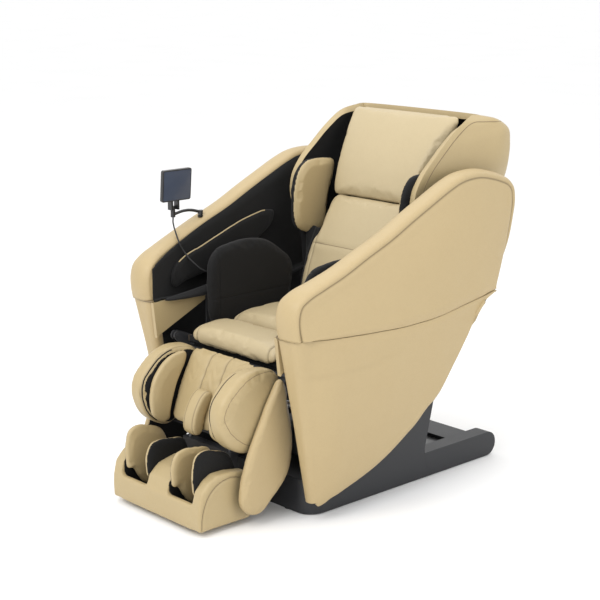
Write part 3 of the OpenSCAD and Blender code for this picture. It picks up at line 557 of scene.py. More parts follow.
# Rows of the upper shell: y and z on the seam, y and z on the top line, outward angle of the top line.
upper_rows = [(-335, 609, -379, 609, 180), (-320, 609, -386, 648, 180), (-297, 608, -386, 688, 176),
              (-266, 606, -373, 726, 152), (-230, 605, -340, 753, 122), (-180, 604, -285, 777, 113),
              (-120, 602, -207, 808, 112), (-50, 601, -106, 851, 114), (20, 600, 0, 894, 115),
              (90, 602, 100, 943, 116), (160, 606, 190, 985, 115), (225, 613, 270, 1021, 112),
              (280, 621, 325, 1040, 104), (325, 627, 375, 1047, 95), (365, 632, 425, 1047, 85),
              (395, 636, 480, 1037, 76), (415, 639, 535, 1021, 70), (424, 640.5, 575, 1003, 55),
              (432, 642, 598, 978, 25), (440, 643, 607, 932, 0), (452, 644, 598, 870, -10),
              (462, 645, 576, 790, -13), (471, 647, 532, 711, -19), (478, 648.3, 494, 663, -26)]
# Across the armrest: height over the top line's own base, and share of the way to the inner wall.
band = [(10, 0), (18, 0.12), (23.5, 0.3), (25.5, 0.5), (24, 0.7), (18, 0.9), (8, 1)]
upper_v = [0, 0.04, 0.16, 0.36, 0.58, 0.8, 0.93, 1]
SEAM_GAP = 2
PANEL_SKIN, LINING_SKIN, CLOTH_SKIN = 0.006, 0.0035, 0.002
UPPER_LINED_TO, LOWER_LINED_TO = 0.40, 0.28


def upper_table():
    rows = []
    for yb, zb, yt, zt, turn in upper_rows:
        n = np.array([math.cos(math.radians(turn)), math.sin(math.radians(turn))])
        c = np.array([yt, zt]) - 25 * n
        b = np.array([yb, zb + SEAM_GAP])
        xc, xi = crease_x(c[0]), inner_x(yt)
        row = []
        for v in upper_v:
            y, z = b + (c - b) * v
            p = half_w(y)
            tuck = 3.0 * math.exp(-(v / 0.02) ** 2)
            row.append((p - (p - xc) * v * v - tuck, y, z))
        row += [(xc + (xi - xc) * s, *(c + d * n)) for d, s in band]
        row += [(xi, *(c + n)), (xi, *(c - 12 * n))]
        rows.append(row)
    return np.array(rows) / 1000


U_STEP, V_STEP = 5, 5
CREASE_COL = (len(upper_v) - 1) * V_STEP
table = smooth_grid(upper_table(), U_STEP, V_STEP)
upper = grid_object("panel_upper_left_skin", table)
seam_line = table[:, CREASE_COL]
groove(upper, line_distance(coords(upper), seam_line), 0.0030, 0.0022, 0.014, 0.0016)
upper.data.materials.append(TAN_SIDE)
upper.data.materials.append(LINING)
thicken(upper, PANEL_SKIN, material_offset=1)
upper_r = mirrored(upper, "panel_upper_right_skin")
for piece, side in ((upper, "left"), (upper_r, "right")):
    finish_piece(piece, "seat", [TAN_SIDE, LINING], f"panel_upper_{side}")
    zone(piece, lambda c, n: c.y > UPPER_LINED_TO, 0)
print("upper panels:", len(upper.data.polygons), "faces each")

# %% [markdown]
# The lower panel hangs from the seam like an apron: a narrow front return, a soft front edge, then
# the bulging skin that sweeps back and up over the base. A faint moulded fold crosses its front.

# %% Lower panels
# The front edge: step back, share of the way out to the skin, and a nudge in X. Then rows of y, z at
# the bottom and y, z at the seam.
lower_front = [(32, 0, 0), (9, 0, 0), (1, 0, 8), (-2, 0.5, 0), (2, 1, -9), (13, 1, 0)]
lower_rows = [(-250, 56, -322, 609), (-232, 60, -300, 608), (-208, 74, -270, 606), (-180, 84, -232, 605),
              (-151, 95, -190, 604), (-90, 116, -130, 602), (-27, 143, -60, 601), (34, 179, 10, 600),
              (94, 224, 82, 602), (131, 253, 130, 604), (177, 303, 185, 609), (205, 323, 225, 614),
              (273, 422, 305, 625), (334, 520, 375, 634), (381, 599, 430, 641), (396, 613, 452, 644),
              (428, 628, 470, 646.4), (464, 639, 479, 646.8)]
lower_v = [0, 0.03, 0.12, 0.3, 0.5, 0.7, 0.87, 0.97, 1]


def front_in(z): return float(np.interp(z, [50, 340, 612], [328, 324, 312]))
def front_out(z): return float(np.interp(z, [50, 450, 612], [370, 390, 408]))
def front_y(z): return -370 + (610 - z) * 0.182


def skin_lower(y, z):
    p = half_w(y)
    p = p if z >= 650 else p - (p - 385) * ((650 - z) / 600) ** 1.6
    s = min(1, max(0, (y - front_y(z) - 14) / 110))
    return front_out(z) + (p - front_out(z)) * (1 - (1 - s) ** 2)


def lower_table():
    rows = []
    for step, out, nudge in lower_front:
        row = []
        for v in lower_v:
            z = 68 + (609 - 68) * v
            row.append((front_in(z) + (front_out(z) - front_in(z)) * out + nudge, front_y(z) + step, z))
        rows.append(row)
    for y0, z0, y1, z1 in lower_rows:
        row = []
        for v in lower_v:
            y, z = y0 + (y1 - y0) * v, z0 + (z1 - z0) * v
            tuck = 3.0 * (math.exp(-(v / 0.02) ** 2) + math.exp(-((1 - v) / 0.02) ** 2))
            row.append((skin_lower(y, z) - tuck, y, z))
        rows.append(row)
    return np.array(rows) / 1000


table = smooth_grid(lower_table(), 4, 6)
lower = grid_object("panel_lower_left_skin", table)
co = coords(lower)
fold = np.array([(0.40, -0.36, 0.492), (0.425, -0.25, 0.490), (0.445, -0.1, 0.502), (0.455, 0.02, 0.53)])
crease = line_distance(co, through(fold, 6))
groove(lower, crease, 0.010, 0.0012)
# The fold keeps only a low seam value: a faint painted shade along the fold.
mark_seam(lower, 0.10 * np.exp(-(crease / 0.008) ** 2))
lower.data.materials.append(TAN_SIDE)
lower.data.materials.append(LINING)
thicken(lower, PANEL_SKIN, material_offset=1)
lower_r = mirrored(lower, "panel_lower_right_skin")
for piece, side in ((lower, "left"), (lower_r, "right")):
    finish_piece(piece, "seat", [TAN_SIDE, LINING], f"panel_lower_{side}")
    zone(piece, lambda c, n: c.y > LOWER_LINED_TO, 0)
# The seam tape takes the darker seam tan: the cord is real, and its darker tone is painted shade along the
# join.
TAPE_R, TAPE_IN = 0.0036, 0.0062
tape = table[4:, -1][::3] - np.array([TAPE_IN, 0, 0])
for side, s in SIDES:
    strip(f"seam_tape_{side}", flip(tape, s), TAPE_R, "seat", SEAM_SHADE_TAN)
print("lower panels:", len(lower.data.polygons), "faces each")

# %% [markdown]
# The arm channel's outer wall is lined with black cloth that runs from just under the armrest's
# inner edge down to the channel floor. It is a sheet over a board, so it gets a thin solid skin.
# Its rear end hangs a little lower, beside the backrest, and closes the view past the seat.

# %% Arm linings
# Each row: y, x of the wall, z at the bottom and z at the top.
lining_rows = [(-356, 313, 616, 717), (-349, 313, 616, 722), (-340, 315, 616, 730), (-318, 320, 616, 742),
               (-277.6, 332.4, 612, 759.5), (-200, 349.2, 612, 790), (-98.3, 357, 612, 833.6),
               (8, 357, 612, 876.8), (108.3, 357, 612, 925.9), (198, 357, 612, 967.8), (277, 357, 621, 1003),
               (329.6, 357, 631, 1021.6), (376.7, 357, 640, 1028), (423, 357, 650, 1028),
               (475.4, 357, 670, 1018.6)]
LINING_Y = [r[0] for r in lining_rows]
LINING_X = [r[1] for r in lining_rows]
rows = [[(307.8, y, zb - 6), (x - 9, y, zb - 6), (x - 2.5, y, zb - 3.5), (x - 0.5, y, zb + 8),
         (x - 0.5, y, zb + (zt - zb) * 0.5), (x - 0.5, y, zt)] for y, x, zb, zt in lining_rows]
lining = grid_object("arm_lining_left_skin", smooth_grid(np.array(rows) / 1000, 3, 4))
thicken(lining, LINING_SKIN)
lining_r = mirrored(lining, "arm_lining_right_skin")
for piece, side in ((lining, "left"), (lining_r, "right")):
    finish_piece(piece, "seat", LINING, f"arm_lining_{side}")
tail_rows = [(150, 520, 606), (220, 506, 607), (280, 504, 616), (318, 522, 625), (345, 556, 630),
             (368, 594, 635)]
rows = [[(306.5, y, z1), (311, y, z1 - (z1 - z0) * 0.15), (313, y, z1 - (z1 - z0) * 0.55), (311, y, z0)]
        for y, z0, z1 in tail_rows]
for (side, s), panel in zip(SIDES, ("panel_lower_left", "panel_lower_right")):
    tail = grid_object(f"lining_tail_{side}", smooth_grid(flip(np.array(rows) / 1000, s), 3, 3))
    use_modifier(tail, "SOLIDIFY", thickness=CLOTH_SKIN, offset=0)
    finish_piece(tail, "seat", LINING)
print("arm linings:", len(lining.data.polygons), "faces each")

# %% [markdown]
# The backrest's outer shell is one wrapped form: two wings that reach forward beside the head, and a
# broad back. Outside it is leather; inside, past the rolled front edge, it is lined in black.

# %% Back shell
# Each level: y, z and half width of its front edge, then the same for the corner at the back.
shell_levels = [(300, 640, 292, 470, 560, 292), (292, 750, 294, 560, 700, 296),
                (260, 850, 296, 630, 830, 299), (242, 915, 296, 680, 930, 301),
                (250, 970, 296, 702, 990, 316), (284, 1024, 295, 696, 1050, 336),
                (346, 1082, 293, 693, 1110, 341), (416, 1140, 291, 686, 1150, 338),
                (488, 1184, 286, 660, 1176, 322), (552, 1201, 264, 584, 1200, 274)]
# The way round each level: share from front to back, share drawn in to the middle, crown in mm.
shell_way = [(0, 0, 0), (0.3, 0, 0), (0.62, 0, 0), (0.88, 0.01, 0), (0.98, 0.06, 4), (1, 0.2, 10),
             (1, 0.55, 16), (1, 1, 18)]
WING_T = 22


def shell_point(level, way, side):
    y, z, x = (level[k] + (level[k + 3] - level[k]) * way[0] for k in range(3))
    return side * x * (1 - way[1]), y + way[2], z


ways = [(w, 1) for w in shell_way] + [(w, -1) for w in shell_way[-2::-1]]
table = smooth_grid(np.array([[shell_point(l, w, s) for l in shell_levels] for w, s in ways]) / 1000, 8, 6)
shell = grid_object("back_shell_skin", table)
shell.data.materials.append(TAN)
shell.data.materials.append(BLACK)
thicken(shell, WING_T / 1000, use_quality_normals=True, material_offset=1, material_offset_rim=0)
bm = bmesh.new()
bm.from_mesh(shell.data)
rim = [e for e in bm.edges if e.is_manifold and e.calc_face_angle(0) > math.radians(55)
       and e.link_faces[0].material_index + e.link_faces[1].material_index < 2]
soften(bm, rim, 0.007, 3, material=0, clamp_overlap=True)
bm.to_mesh(shell.data)
bm.free()
finish_piece(shell, "backrest", [TAN, BLACK], "back_shell")
zone(shell, lambda c, n: c.z < 0.77 and c.y < 0.36 and abs(c.x) > 0.26 and (n.y < -0.3 or n.z < -0.5))
inner = sum(f.material_index for f in shell.data.polygons)


def along(column, reach):
    """The point at a distance along a chain of points."""
    run = np.concatenate([[0], np.cumsum(np.linalg.norm(np.diff(column, axis=0), axis=1))])
    return [float(np.interp(reach, run, column[:, k])) for k in range(3)]


n_rows = table.shape[1]
edge_seam = [along(table[:, j], 0.034) for j in range(8, n_rows - 9, 3)]
edge_seam += [along(table[:, n_rows - k], d) for k, d in ((8, 0.038), (7, 0.052), (7, 0.080))]
edge_seam += [along(table[:, n_rows - 7], d) for d in (0.11, 0.14, 0.17, 0.20)]
edge_seam = through(np.array(edge_seam), 3)
# The wing seam cords take the darker seam tan: painted shade along the wing's seam.
for side, s in SIDES:
    strip(f"wing_seam_{side}", flip(edge_seam, s), 0.0011, "backrest", SEAM_SHADE_TAN)
print("back shell:", len(shell.data.polygons), "faces,", inner, "of them lining")

# %% [markdown]
# Pads and cushions are padded leather over foam or air cells. Each starts as an outline that is
# filled, extruded and rounded, or as a merged copy of its solid; it is remeshed evenly, shrunk a
# little, and inflated by a short cloth simulation with no gravity. All of them swell in one run of
# twenty frames, each point's travel is capped, and the seams are pressed in afterwards.

# %% Pad makers
VOXEL = 0.005
SWELL_FRAMES = 20
swelling = []


def voxel_mesh(obj, size=VOXEL, smooth=4):
    """An even mesh over the same form, smoothed a few times."""
    use_modifier(obj, "REMESH", mode="VOXEL", voxel_size=size, use_smooth_shade=True)
    bm = bmesh.new()
    bm.from_mesh(obj.data)
    for _ in range(smooth):
        bmesh.ops.smooth_vert(bm, verts=bm.verts, factor=0.5, use_axis_x=True, use_axis_y=True,
                              use_axis_z=True)
    bm.to_mesh(obj.data)
    bm.free()
    return obj


def outline_pad(name, outline_mm, x0, x1, round_by, shift=None, shrink=0.004):
    """A closed pad between two planes: outline filled, extruded along X, rim rounded."""
    line = through(np.array(outline_mm, float) / 1000, 6, closed=True)
    mid = line.mean(0)
    far = np.linalg.norm(line - mid, axis=1, keepdims=True)
    line = mid + (line - mid) * (1 - shrink * 0.6 / far)
    half = (x1 - x0) / 2000
    bm = bmesh.new()
    ring = [bm.verts.new((x0 / 1000 + shrink * 0.4, y, z)) for y, z in line]
    face = bm.faces.new(ring)
    made = bmesh.ops.extrude_face_region(bm, geom=[face])
    top = [v for v in made["geom"] if isinstance(v, bmesh.types.BMVert)]
    bmesh.ops.translate(bm, vec=(2 * half - shrink * 0.8, 0, 0), verts=top)
    bmesh.ops.recalc_face_normals(bm, faces=bm.faces)
    rim = [e for e in bm.edges if e.calc_face_angle(0) > math.radians(60)]
    soften(bm, rim, half * 2 * round_by, 5, clamp_overlap=True)
    obj = voxel_mesh(obj_from(bm, name))
    if shift:
        co = coords(obj)
        co[:, 0] += np.array([shift(y * 1000) for y in co[:, 1]]) / 1000
        set_coords(obj, co)
    return obj


def solid_pad(name, node, size=VOXEL, smooth=6, shrink=0.002):
    """A pad from a merged copy of its solid, its facets smoothed away."""
    bm = bmesh.new()
    bm.from_mesh(frame["nodes"][node].data)
    bmesh.ops.remove_doubles(bm, verts=bm.verts, dist=2e-5)
    bmesh.ops.join_triangles(bm, faces=bm.faces, angle_face_threshold=math.radians(50),
                             angle_shape_threshold=math.radians(180))
    obj = obj_from(bm, name)
    use_modifier(obj, "SUBSURF", levels=2, render_levels=2)
    voxel_mesh(obj, size, smooth)
    set_coords(obj, coords(obj) - normals(obj) * shrink)
    return obj


def swell(obj, cap, pressure):
    """Puts a pad on the list for the one run of inflation."""
    swelling.append((obj, cap, pressure))
    return obj


def run_swelling():
    """Inflates every waiting pad at once, then applies and caps the result."""
    scene = bpy.context.scene
    for obj, cap, pressure in swelling:
        cloth_mod = obj.modifiers.new("Cloth", "CLOTH")
        s = cloth_mod.settings    # a light, stiff skin: it rounds out without losing its outline
        s.quality, s.mass, s.air_damping = 3, 0.3, 2.0
        s.tension_stiffness = s.compression_stiffness = 20
        s.shear_stiffness, s.bending_stiffness = 10, 2.0
        s.use_pressure, s.uniform_pressure_force = True, pressure
        s.effector_weights.gravity = 0
        cloth_mod.point_cache.frame_start, cloth_mod.point_cache.frame_end = 1, SWELL_FRAMES
    for f in range(1, SWELL_FRAMES + 1):
        scene.frame_set(f)
    graph = bpy.context.evaluated_depsgraph_get()
    moved = {}
    for obj, cap, _ in swelling:
        data = bpy.data.meshes.new_from_object(obj.evaluated_get(graph))
        new = np.empty(len(data.vertices) * 3)
        data.vertices.foreach_get("co", new)
        moved[obj.name] = new.reshape(-1, 3)
        bpy.data.meshes.remove(data)
    for obj, cap, _ in swelling:
        obj.modifiers.clear()
        co = coords(obj)
        step = moved[obj.name] - co
        step -= step.mean(0)
        size = np.linalg.norm(step, axis=1, keepdims=True)
        set_coords(obj, co + step * np.minimum(1, cap / np.maximum(size, 1e-9)))
    scene.frame_set(1)
    print("inflated", len(swelling), "pads")
    swelling.clear()


def refined(obj):
    return use_modifier(obj, "SUBSURF", levels=1, render_levels=1)


def rim_line(outline_mm, x_mm, inset_mm=0.0, steps=6, shift=None):
    """A pad's outline as a closed line in metres at one x, drawn in by an inset."""
    line = through(np.array(outline_mm, float), steps, closed=True)
    mid = line.mean(0)
    far = np.linalg.norm(line - mid, axis=1, keepdims=True)
    line = mid + (line - mid) * (1 - inset_mm / far)
    x = np.full(len(line), float(x_mm))
    if shift:
        x += np.array([shift(y) for y in line[:, 0]])
    return np.column_stack([x, line]) / 1000


print("pad makers ready")
# %% [markdown]
# The calf walls are the big padded pieces at the front. Their outline is the same as the solid's;
# the rim is rounded over a third of the width, and the front edge carries a sewn band that ends in
# a D-shaped side panel.

# %% Calf walls and the padded divider
calf_wall_o = [(-296, 474), (-350, 489), (-413, 484), (-452, 466), (-486, 437), (-513, 406), (-524, 374),
               (-519, 322), (-497, 276), (-456, 242), (-410, 226), (-388, 232), (-361.8, 262), (-321.6, 336),
               (-280.3, 412), (-272, 444)]
calf_wall = swell(outline_pad("calf_wall_left_pad", calf_wall_o, 162, 232, 0.30), 0.006, 5)
divider_o = [(-385, 378), (-402, 386), (-425, 374), (-447, 346), (-462, 315), (-468, 285), (-464, 256),
             (-449, 243), (-433, 247), (-423.5, 263.5), (-413.9, 291.5), (-398.5, 331.5)]
divider = swell(outline_pad("calf_divider_pad", divider_o, -32, 32, 0.36), 0.005, 5)
print("calf wall and divider ready to inflate")

# %% [markdown]
# Air pads are flat bladders sewn into covers. They lean on the calf walls, on the foot walls and on
# the armrests, so they are thin and soft at the rim.

# %% Air pads
calf_air_o = [(-352, 474), (-400, 475), (-440, 457), (-468, 431), (-490, 400), (-501, 365), (-503, 320),
              (-496, 284), (-476, 262), (-446, 249), (-431, 252), (-421, 286), (-405, 329), (-389, 373),
              (-373, 407), (-355, 443)]
foot_air_o = [(-587, 106), (-592, 156), (-588, 210), (-572, 250), (-540, 262), (-497, 253), (-440, 226),
              (-424, 200), (-420, 60), (-430, 32.3), (-560, 32.3), (-572, 60), (-574, 100)]
foot_air_i = [(-587, 106), (-590, 145), (-584, 204), (-564, 232), (-537, 238), (-485, 234), (-430, 216),
              (-418, 190), (-420, 60), (-430, 32.3), (-560, 32.3), (-572, 60), (-574, 100)]
leaf_o = [(-301, 459), (-348, 409), (-393, 331), (-431, 261), (-453, 207), (-473, 123), (-470, 77),
          (-442, 44), (-397, 34), (-345, 70), (-268, 147), (-252, 210), (-255, 300), (-272, 380), (-284, 436)]
forearm_o = [(-187, 545), (-192, 600), (-192, 680), (-182, 738), (-150, 774), (-95, 788), (-10, 794),
             (75, 778), (138, 738), (192, 686), (196, 620), (172, 545), (100, 490), (-60, 488.1), (-162, 493)]
hand_o = [(-272, 679), (-246, 720), (-195, 746), (-126, 766), (-38, 800), (79, 838), (180, 852), (211, 843),
          (200, 800), (150, 760), (40, 700), (-80, 668), (-200, 648), (-262, 640)]
shoulder_o = [(412, 1018), (340, 1030), (267, 1022), (232, 985), (217, 938), (210, 870), (226, 790),
              (290, 758), (352, 756), (372, 800), (392, 900), (412, 970)]


def lining_off(y): return float(np.interp(y, LINING_Y, LINING_X)) - 357


def off_floor(outline):
    """A foot pad's outline with its lower front corner raised, so that it clears the sole."""
    raised = {(-587, 106): (-584, 118), (-574, 100): (-566, 112), (-572, 60): (-548, 84),
              (-560, 32.3): (-520, 52)}
    return [raised.get(q, q) for q in outline]


calf_air = swell(outline_pad("calf_air_left_pad", calf_air_o, 135.7, 161.7, 0.42), 0.005, 6)
foot_air_o, foot_air_i = off_floor(foot_air_o), off_floor(foot_air_i)
foot_out = swell(outline_pad("foot_air_outer_pad", foot_air_o, 157.7, 179.7, 0.42), 0.004, 5)
foot_in = swell(outline_pad("foot_air_inner_pad", foot_air_i, 52.3, 74.3, 0.42), 0.004, 5)
leaf = swell(outline_pad("leg_cover_left_pad", leaf_o, 240, 267, 0.42), 0.004, 5)
forearm = swell(outline_pad("forearm_left_pad", forearm_o, 217, 249, 0.40), 0.005, 6)
hand = swell(outline_pad("hand_left_pad", hand_o, 333, 352.4, 0.42, lining_off, 0.003), 0.003, 5)
shoulder = swell(outline_pad("shoulder_left_pad", shoulder_o, 238, 273.1, 0.40), 0.005, 6)
print("air pads ready:", len(swelling))

# %% [markdown]
# The seat, back, head and calf cushions are merged copies of their solids, which already have the
# crown, the drawn-in sides and the sewn channels. Their facets are smoothed before inflation.

# %% Cushions
arm_floor = solid_pad("arm_floor_left_pad", "arm_base_left", 0.004, 4, -0.0004)
seat_front = swell(solid_pad("seat_front_cushion", "seat_cushion_front", 0.006), 0.007, 5)
seat_rear = swell(solid_pad("seat_rear_cushion", "seat_cushion_rear", 0.006), 0.007, 5)
back = swell(solid_pad("back_cushion_skin", "back_cushion", 0.006), 0.008, 5)
pillow = swell(solid_pad("head_pillow_skin", "head_pillow", 0.0055), 0.008, 6)
calf = swell(solid_pad("calf_rest_skin", "calf_rest", 0.0055), 0.005, 5)
run_swelling()
LEAN = np.array([0, math.sin(math.radians(29)), math.cos(math.radians(29))])


def stretch(obj, reach, from_top, depth=0.06):
    """Draws one end of a cushion further along the backrest's lean."""
    co = coords(obj)
    at = co @ LEAN
    t = np.clip(1 - ((at.max() - at) if from_top else (at - at.min())) / depth, 0, 1)
    set_coords(obj, co + LEAN * (reach * t * t * (3 - 2 * t))[:, None])


stretch(back, 0.016, True)
stretch(pillow, -0.013, False)
FLARE, FLARE_TOP, FLARE_RUN = 0.09, 0.80, 0.16
co = coords(back)
low = np.clip((FLARE_TOP - co[:, 2]) / FLARE_RUN, 0, 1)
co[:, 0] *= 1 + FLARE * low * low * (3 - 2 * low)
set_coords(back, co)
for piece in (calf_wall, divider, calf_air, foot_out, foot_in, leaf, forearm, hand, shoulder,
              seat_front, seat_rear, back, pillow, calf):
    refined(piece)
print("cushions:", sum(len(o.data.polygons) for o in (seat_front, seat_rear, back, pillow, calf)), "faces")

# %% [markdown]
# Seams come after the inflation: a narrow groove with a soft roll beside it. On a cushion the seam
# runs where two panels of hide meet, at the edge of the crown.

# %% Seams of the calf walls and pads
def ring_seam(obj, line, width, depth, roll=0.010, swell_by=0.0008):
    groove(obj, line_distance(coords(obj), line, True), width, depth, roll, swell_by)


d_line = [(-300, 470), (-350, 474), (-395, 468), (-436, 448), (-466, 424), (-492, 396), (-503, 370),
          (-494, 334), (-466, 298), (-432, 270), (-398, 254)]
d_seam = through(np.array([(0.2215, y / 1000, z / 1000) for y, z in d_line]), 6)
ring_seam(calf_wall, rim_line(calf_wall_o, 212, 15), 0.0020, 0.0006)
groove(calf_wall, line_distance(coords(calf_wall), d_seam), 0.0028, 0.0022, 0.011, 0.0012)
ring_seam(calf_wall, rim_line(calf_wall_o, 172, 8), 0.0024, 0.0016)
co = coords(calf_wall)
run = co[:, 1] * 0.62 + co[:, 2]
pull = (0.0006 * np.sin(run * 190 + 3 * np.sin(co[:, 1] * 40))
        * np.exp(-(line_distance(co, d_seam) / 0.02) ** 2))
set_coords(calf_wall, co + normals(calf_wall) * pull[:, None])
front_band = through(np.array([(x / 1000, y / 1000, z / 1000) for x, y, z in
                               [(176, -420, 478), (176, -455, 460), (176, -488, 431), (176, -513, 400),
                                (176, -521, 372), (176, -512, 328), (176, -484, 284), (176, -446, 252)]]), 5)
groove(calf_wall, line_distance(coords(calf_wall), front_band), 0.0022, 0.0014, 0.009, 0.0006)
for o, outline, x in ((calf_air, calf_air_o, 148.7), (foot_out, foot_air_o, 168.7),
                      (foot_in, foot_air_i, 63.3), (leaf, leaf_o, 253.5), (shoulder, shoulder_o, 255.5),
                      (forearm, forearm_o, 233)):
    ring_seam(o, rim_line(outline, x), 0.0024, 0.0014, 0.009, 0.0004)
groove(forearm, np.where(coords(forearm)[:, 1] < 0, np.abs(coords(forearm)[:, 1] + 0.150), 1), 0.0024, 0.0016)
groove(forearm, np.abs(coords(forearm)[:, 2] - 0.600), 0.0024, 0.0016)
ring_seam(hand, rim_line(hand_o, 343, 0, 6, lining_off), 0.0022, 0.001)
for x in (-20, 20):
    groove(divider, np.abs(coords(divider)[:, 0] - x / 1000), 0.0024, 0.0016, 0.009, 0.0006)
print("pad seams pressed")

# %% [markdown]
# The cushions have a seam along each side of the crown. Small folds gather where the hide is pulled
# in: across the calf rest, under the pillow's lower edge and beside the side seams.

# %% Seams and folds of the cushions
def side_seam(obj, x, width=0.0030, depth=0.0030):
    groove(obj, np.abs(np.abs(coords(obj)[:, 0]) - x), width, depth, 0.012, 0.0012)


side_seam(calf, 0.041, 0.0032, 0.0028)
co = coords(calf)
lean_run = -(co[:, 1] + 0.30) * 0.5 + (co[:, 2] - 0.45)
wrinkle = (0.0011 * np.sin(lean_run * 230 + 2.2 * np.sin(co[:, 0] * 55) + 1.3 * np.sin(co[:, 0] * 131))
           * np.exp(-((co[:, 2] - 0.415) / 0.045) ** 2) * np.exp(-(co[:, 0] / 0.11) ** 2))
set_coords(calf, co + normals(calf) * wrinkle[:, None])
side_seam(seat_front, 0.176)
side_seam(seat_rear, 0.178)
side_seam(back, 0.165, 0.0030, 0.0026)
mid = np.array([(x, 0.241, 0.748) for x in np.linspace(-0.205, 0.205, 9)])
groove(back, line_distance(coords(back)[:, 1:], mid[:, 1:]), 0.004, 0.002, 0.016, 0.0012)
co = coords(pillow)
soft = (0.0007 * np.sin(co[:, 0] * 61 + 5 * np.sin(co[:, 2] * 23))
        * np.exp(-((co[:, 2] - co[:, 2].min()) / 0.05) ** 2))
set_coords(pillow, co + normals(pillow) * soft[:, None])
for o in (seat_front, seat_rear, back):
    co = coords(o)
    ease = (0.0010 * np.sin(co[:, 0] * 47 + 3.1 * np.sin(co[:, 1] * 29 + co[:, 2] * 17))
            * np.exp(-((np.abs(co[:, 0]) - 0.17) / 0.03) ** 2))
    set_coords(o, co + normals(o) * ease[:, None])
print("cushion seams pressed")

# %% [markdown]
# Each left pad gets its finish and body here, and its mirror image takes the right side. A pad can
# have two finishes: leather where it shows, and black cloth where it meets its neighbour.

# %% Give the pads and cushions their finish
pairs = []
for obj, base, slot, mats, body, fill, test in (
        (calf_wall, "calf_wall", "tan_leather", [TAN, BLACK], "legrest", 0.9, lambda c, n: c.x < 0.1655),
        (calf_air, "calf_air", "tan_leather", [TAN, BLACK], "legrest", 0.95, lambda c, n: c.x > 0.156),
        (leaf, "leg_cover", "tan_leather", [TAN_SIDE, BLACK], "legrest", 0.9, lambda c, n: c.x < 0.243),
        (forearm, "forearm_pad", "black_fabric", [BLACK], "seat", 0.95, None),
        (hand, "hand_pad", "black_fabric", [BLACK], "seat", 0.95, None),
        (arm_floor, "arm_base", "black_fabric", [BLACK], "seat", 0.9, None),
        (shoulder, "shoulder_pad", "tan_leather", [TAN, BLACK], "backrest", 0.9,
         lambda c, n: n.x > -0.35 or c.x > 0.253)):
    node = base + "_left"
    other = mirrored(obj, obj.name.replace("left", "right"))
    finish_piece(obj, body, mats, node)
    finish_piece(other, body, mats, base + "_right")
    mark_seam(other, seam_of(obj))
    if test:
        zone(obj, test)
        zone(other, lambda c, n: test(Vector((-c.x, c.y, c.z)), Vector((-n.x, n.y, n.z))))
    pairs.append((obj, other))
for obj, node, sign in ((foot_out, "foot_air_outer", 1), (foot_in, "foot_air_inner", -1)):
    other = mirrored(obj, obj.name + "_b")
    mark_seam(other, seam_of(obj))
    both = bmesh.new()
    both.from_mesh(obj.data)
    both.from_mesh(other.data)
    both.to_mesh(obj.data)
    both.free()
    bpy.data.objects.remove(other)
    finish_piece(obj, "footrest", [BLACK, TAN], node)
    mid_x = 0.1695 if node == "foot_air_outer" else 0.0625
    zone(obj, lambda c, n: (abs(c.x) - mid_x) * sign < 0.002)
# The seat cushions, back cushion and pillow take the paler tan copy, painted light for their upward faces.
for obj, body, mat, node, fill in (
        (divider, "legrest", TAN, "calf_divider", 0.9), (calf, "legrest", TAN, "calf_rest", 0.9),
        (seat_front, "seat", TAN_LIT, "seat_cushion_front", 0.9),
        (seat_rear, "seat", TAN_LIT, "seat_cushion_rear", 0.9),
        (back, "backrest", TAN_LIT, "back_cushion", 0.9),
        (pillow, "backrest", TAN_LIT, "head_pillow", 0.95)):
    finish_piece(obj, body, mat, node)
print("finished pairs:", len(pairs))

# %% [markdown]
# The foot rest is one moulded tub under leather: two outer walls, a wall between the feet and a
# sole. It starts as its own solid, is remeshed and smoothed, so that the walls meet the sole in
# soft fillets, and a seam runs round each outer wall.

# %% Foot rest shell
bm = bmesh.new()
bm.from_mesh(frame["nodes"]["foot_shell"].data)
bmesh.ops.remove_doubles(bm, verts=bm.verts, dist=2e-5)
foot_shell = obj_from(bm, "foot_shell_skin")
voxel_mesh(foot_shell, 0.004, 10)
foot_seam = through(np.array([(0.2225, y / 1000, z / 1000) for y, z in
                              [(-594, 22), (-592, 60), (-583, 96), (-566, 128), (-540, 152), (-505, 166),
                               (-470, 168), (-440, 160)]]), 6)
foot_seam_r = flip(foot_seam, -1)
co = coords(foot_shell)
groove(foot_shell, np.minimum(line_distance(co, foot_seam), line_distance(co, foot_seam_r)), 0.0026, 0.0020,
       0.010, 0.0008)
refined(foot_shell)
finish_piece(foot_shell, "footrest", [TAN, BLACK], "foot_shell")
zone(foot_shell, lambda c, n: c.z < 0.15 and -0.585 < c.y < -0.405 and 0.05 < abs(c.x) < 0.182
     and (n.z > 0.4 or abs(n.x) > 0.5) and c.z > 0.025)
print("foot shell:", len(foot_shell.data.polygons), "faces")

# %% [markdown]
# Each foot well has a ribbed rubber sole plate. The ribs are one box repeated across the well.

# %% Sole mats
def box(bm, centre, size):
    made = bmesh.ops.create_cube(bm, size=1)["verts"]
    bmesh.ops.scale(bm, vec=size, verts=made)
    bmesh.ops.translate(bm, vec=centre, verts=made)
    return made


WELL_X, RIBS, RIB_PITCH = 0.116, 14, 0.0102
bm = bmesh.new()
for side in (-1, 1):
    box(bm, (side * WELL_X, -0.500, 0.0338), (0.074, 0.150, 0.003))
    for k in range(RIBS):
        box(bm, (side * WELL_X, -0.566 + k * RIB_PITCH, 0.0362), (0.066, 0.0042, 0.0022))
soften(bm, bm.edges[:], 0.0005, 1)
mats_obj = finish_piece(obj_from(bm, "sole_mats"), "footrest", FINISH["rubber"], flat=True)
print("sole mats:", len(mats_obj.data.polygons), "faces")
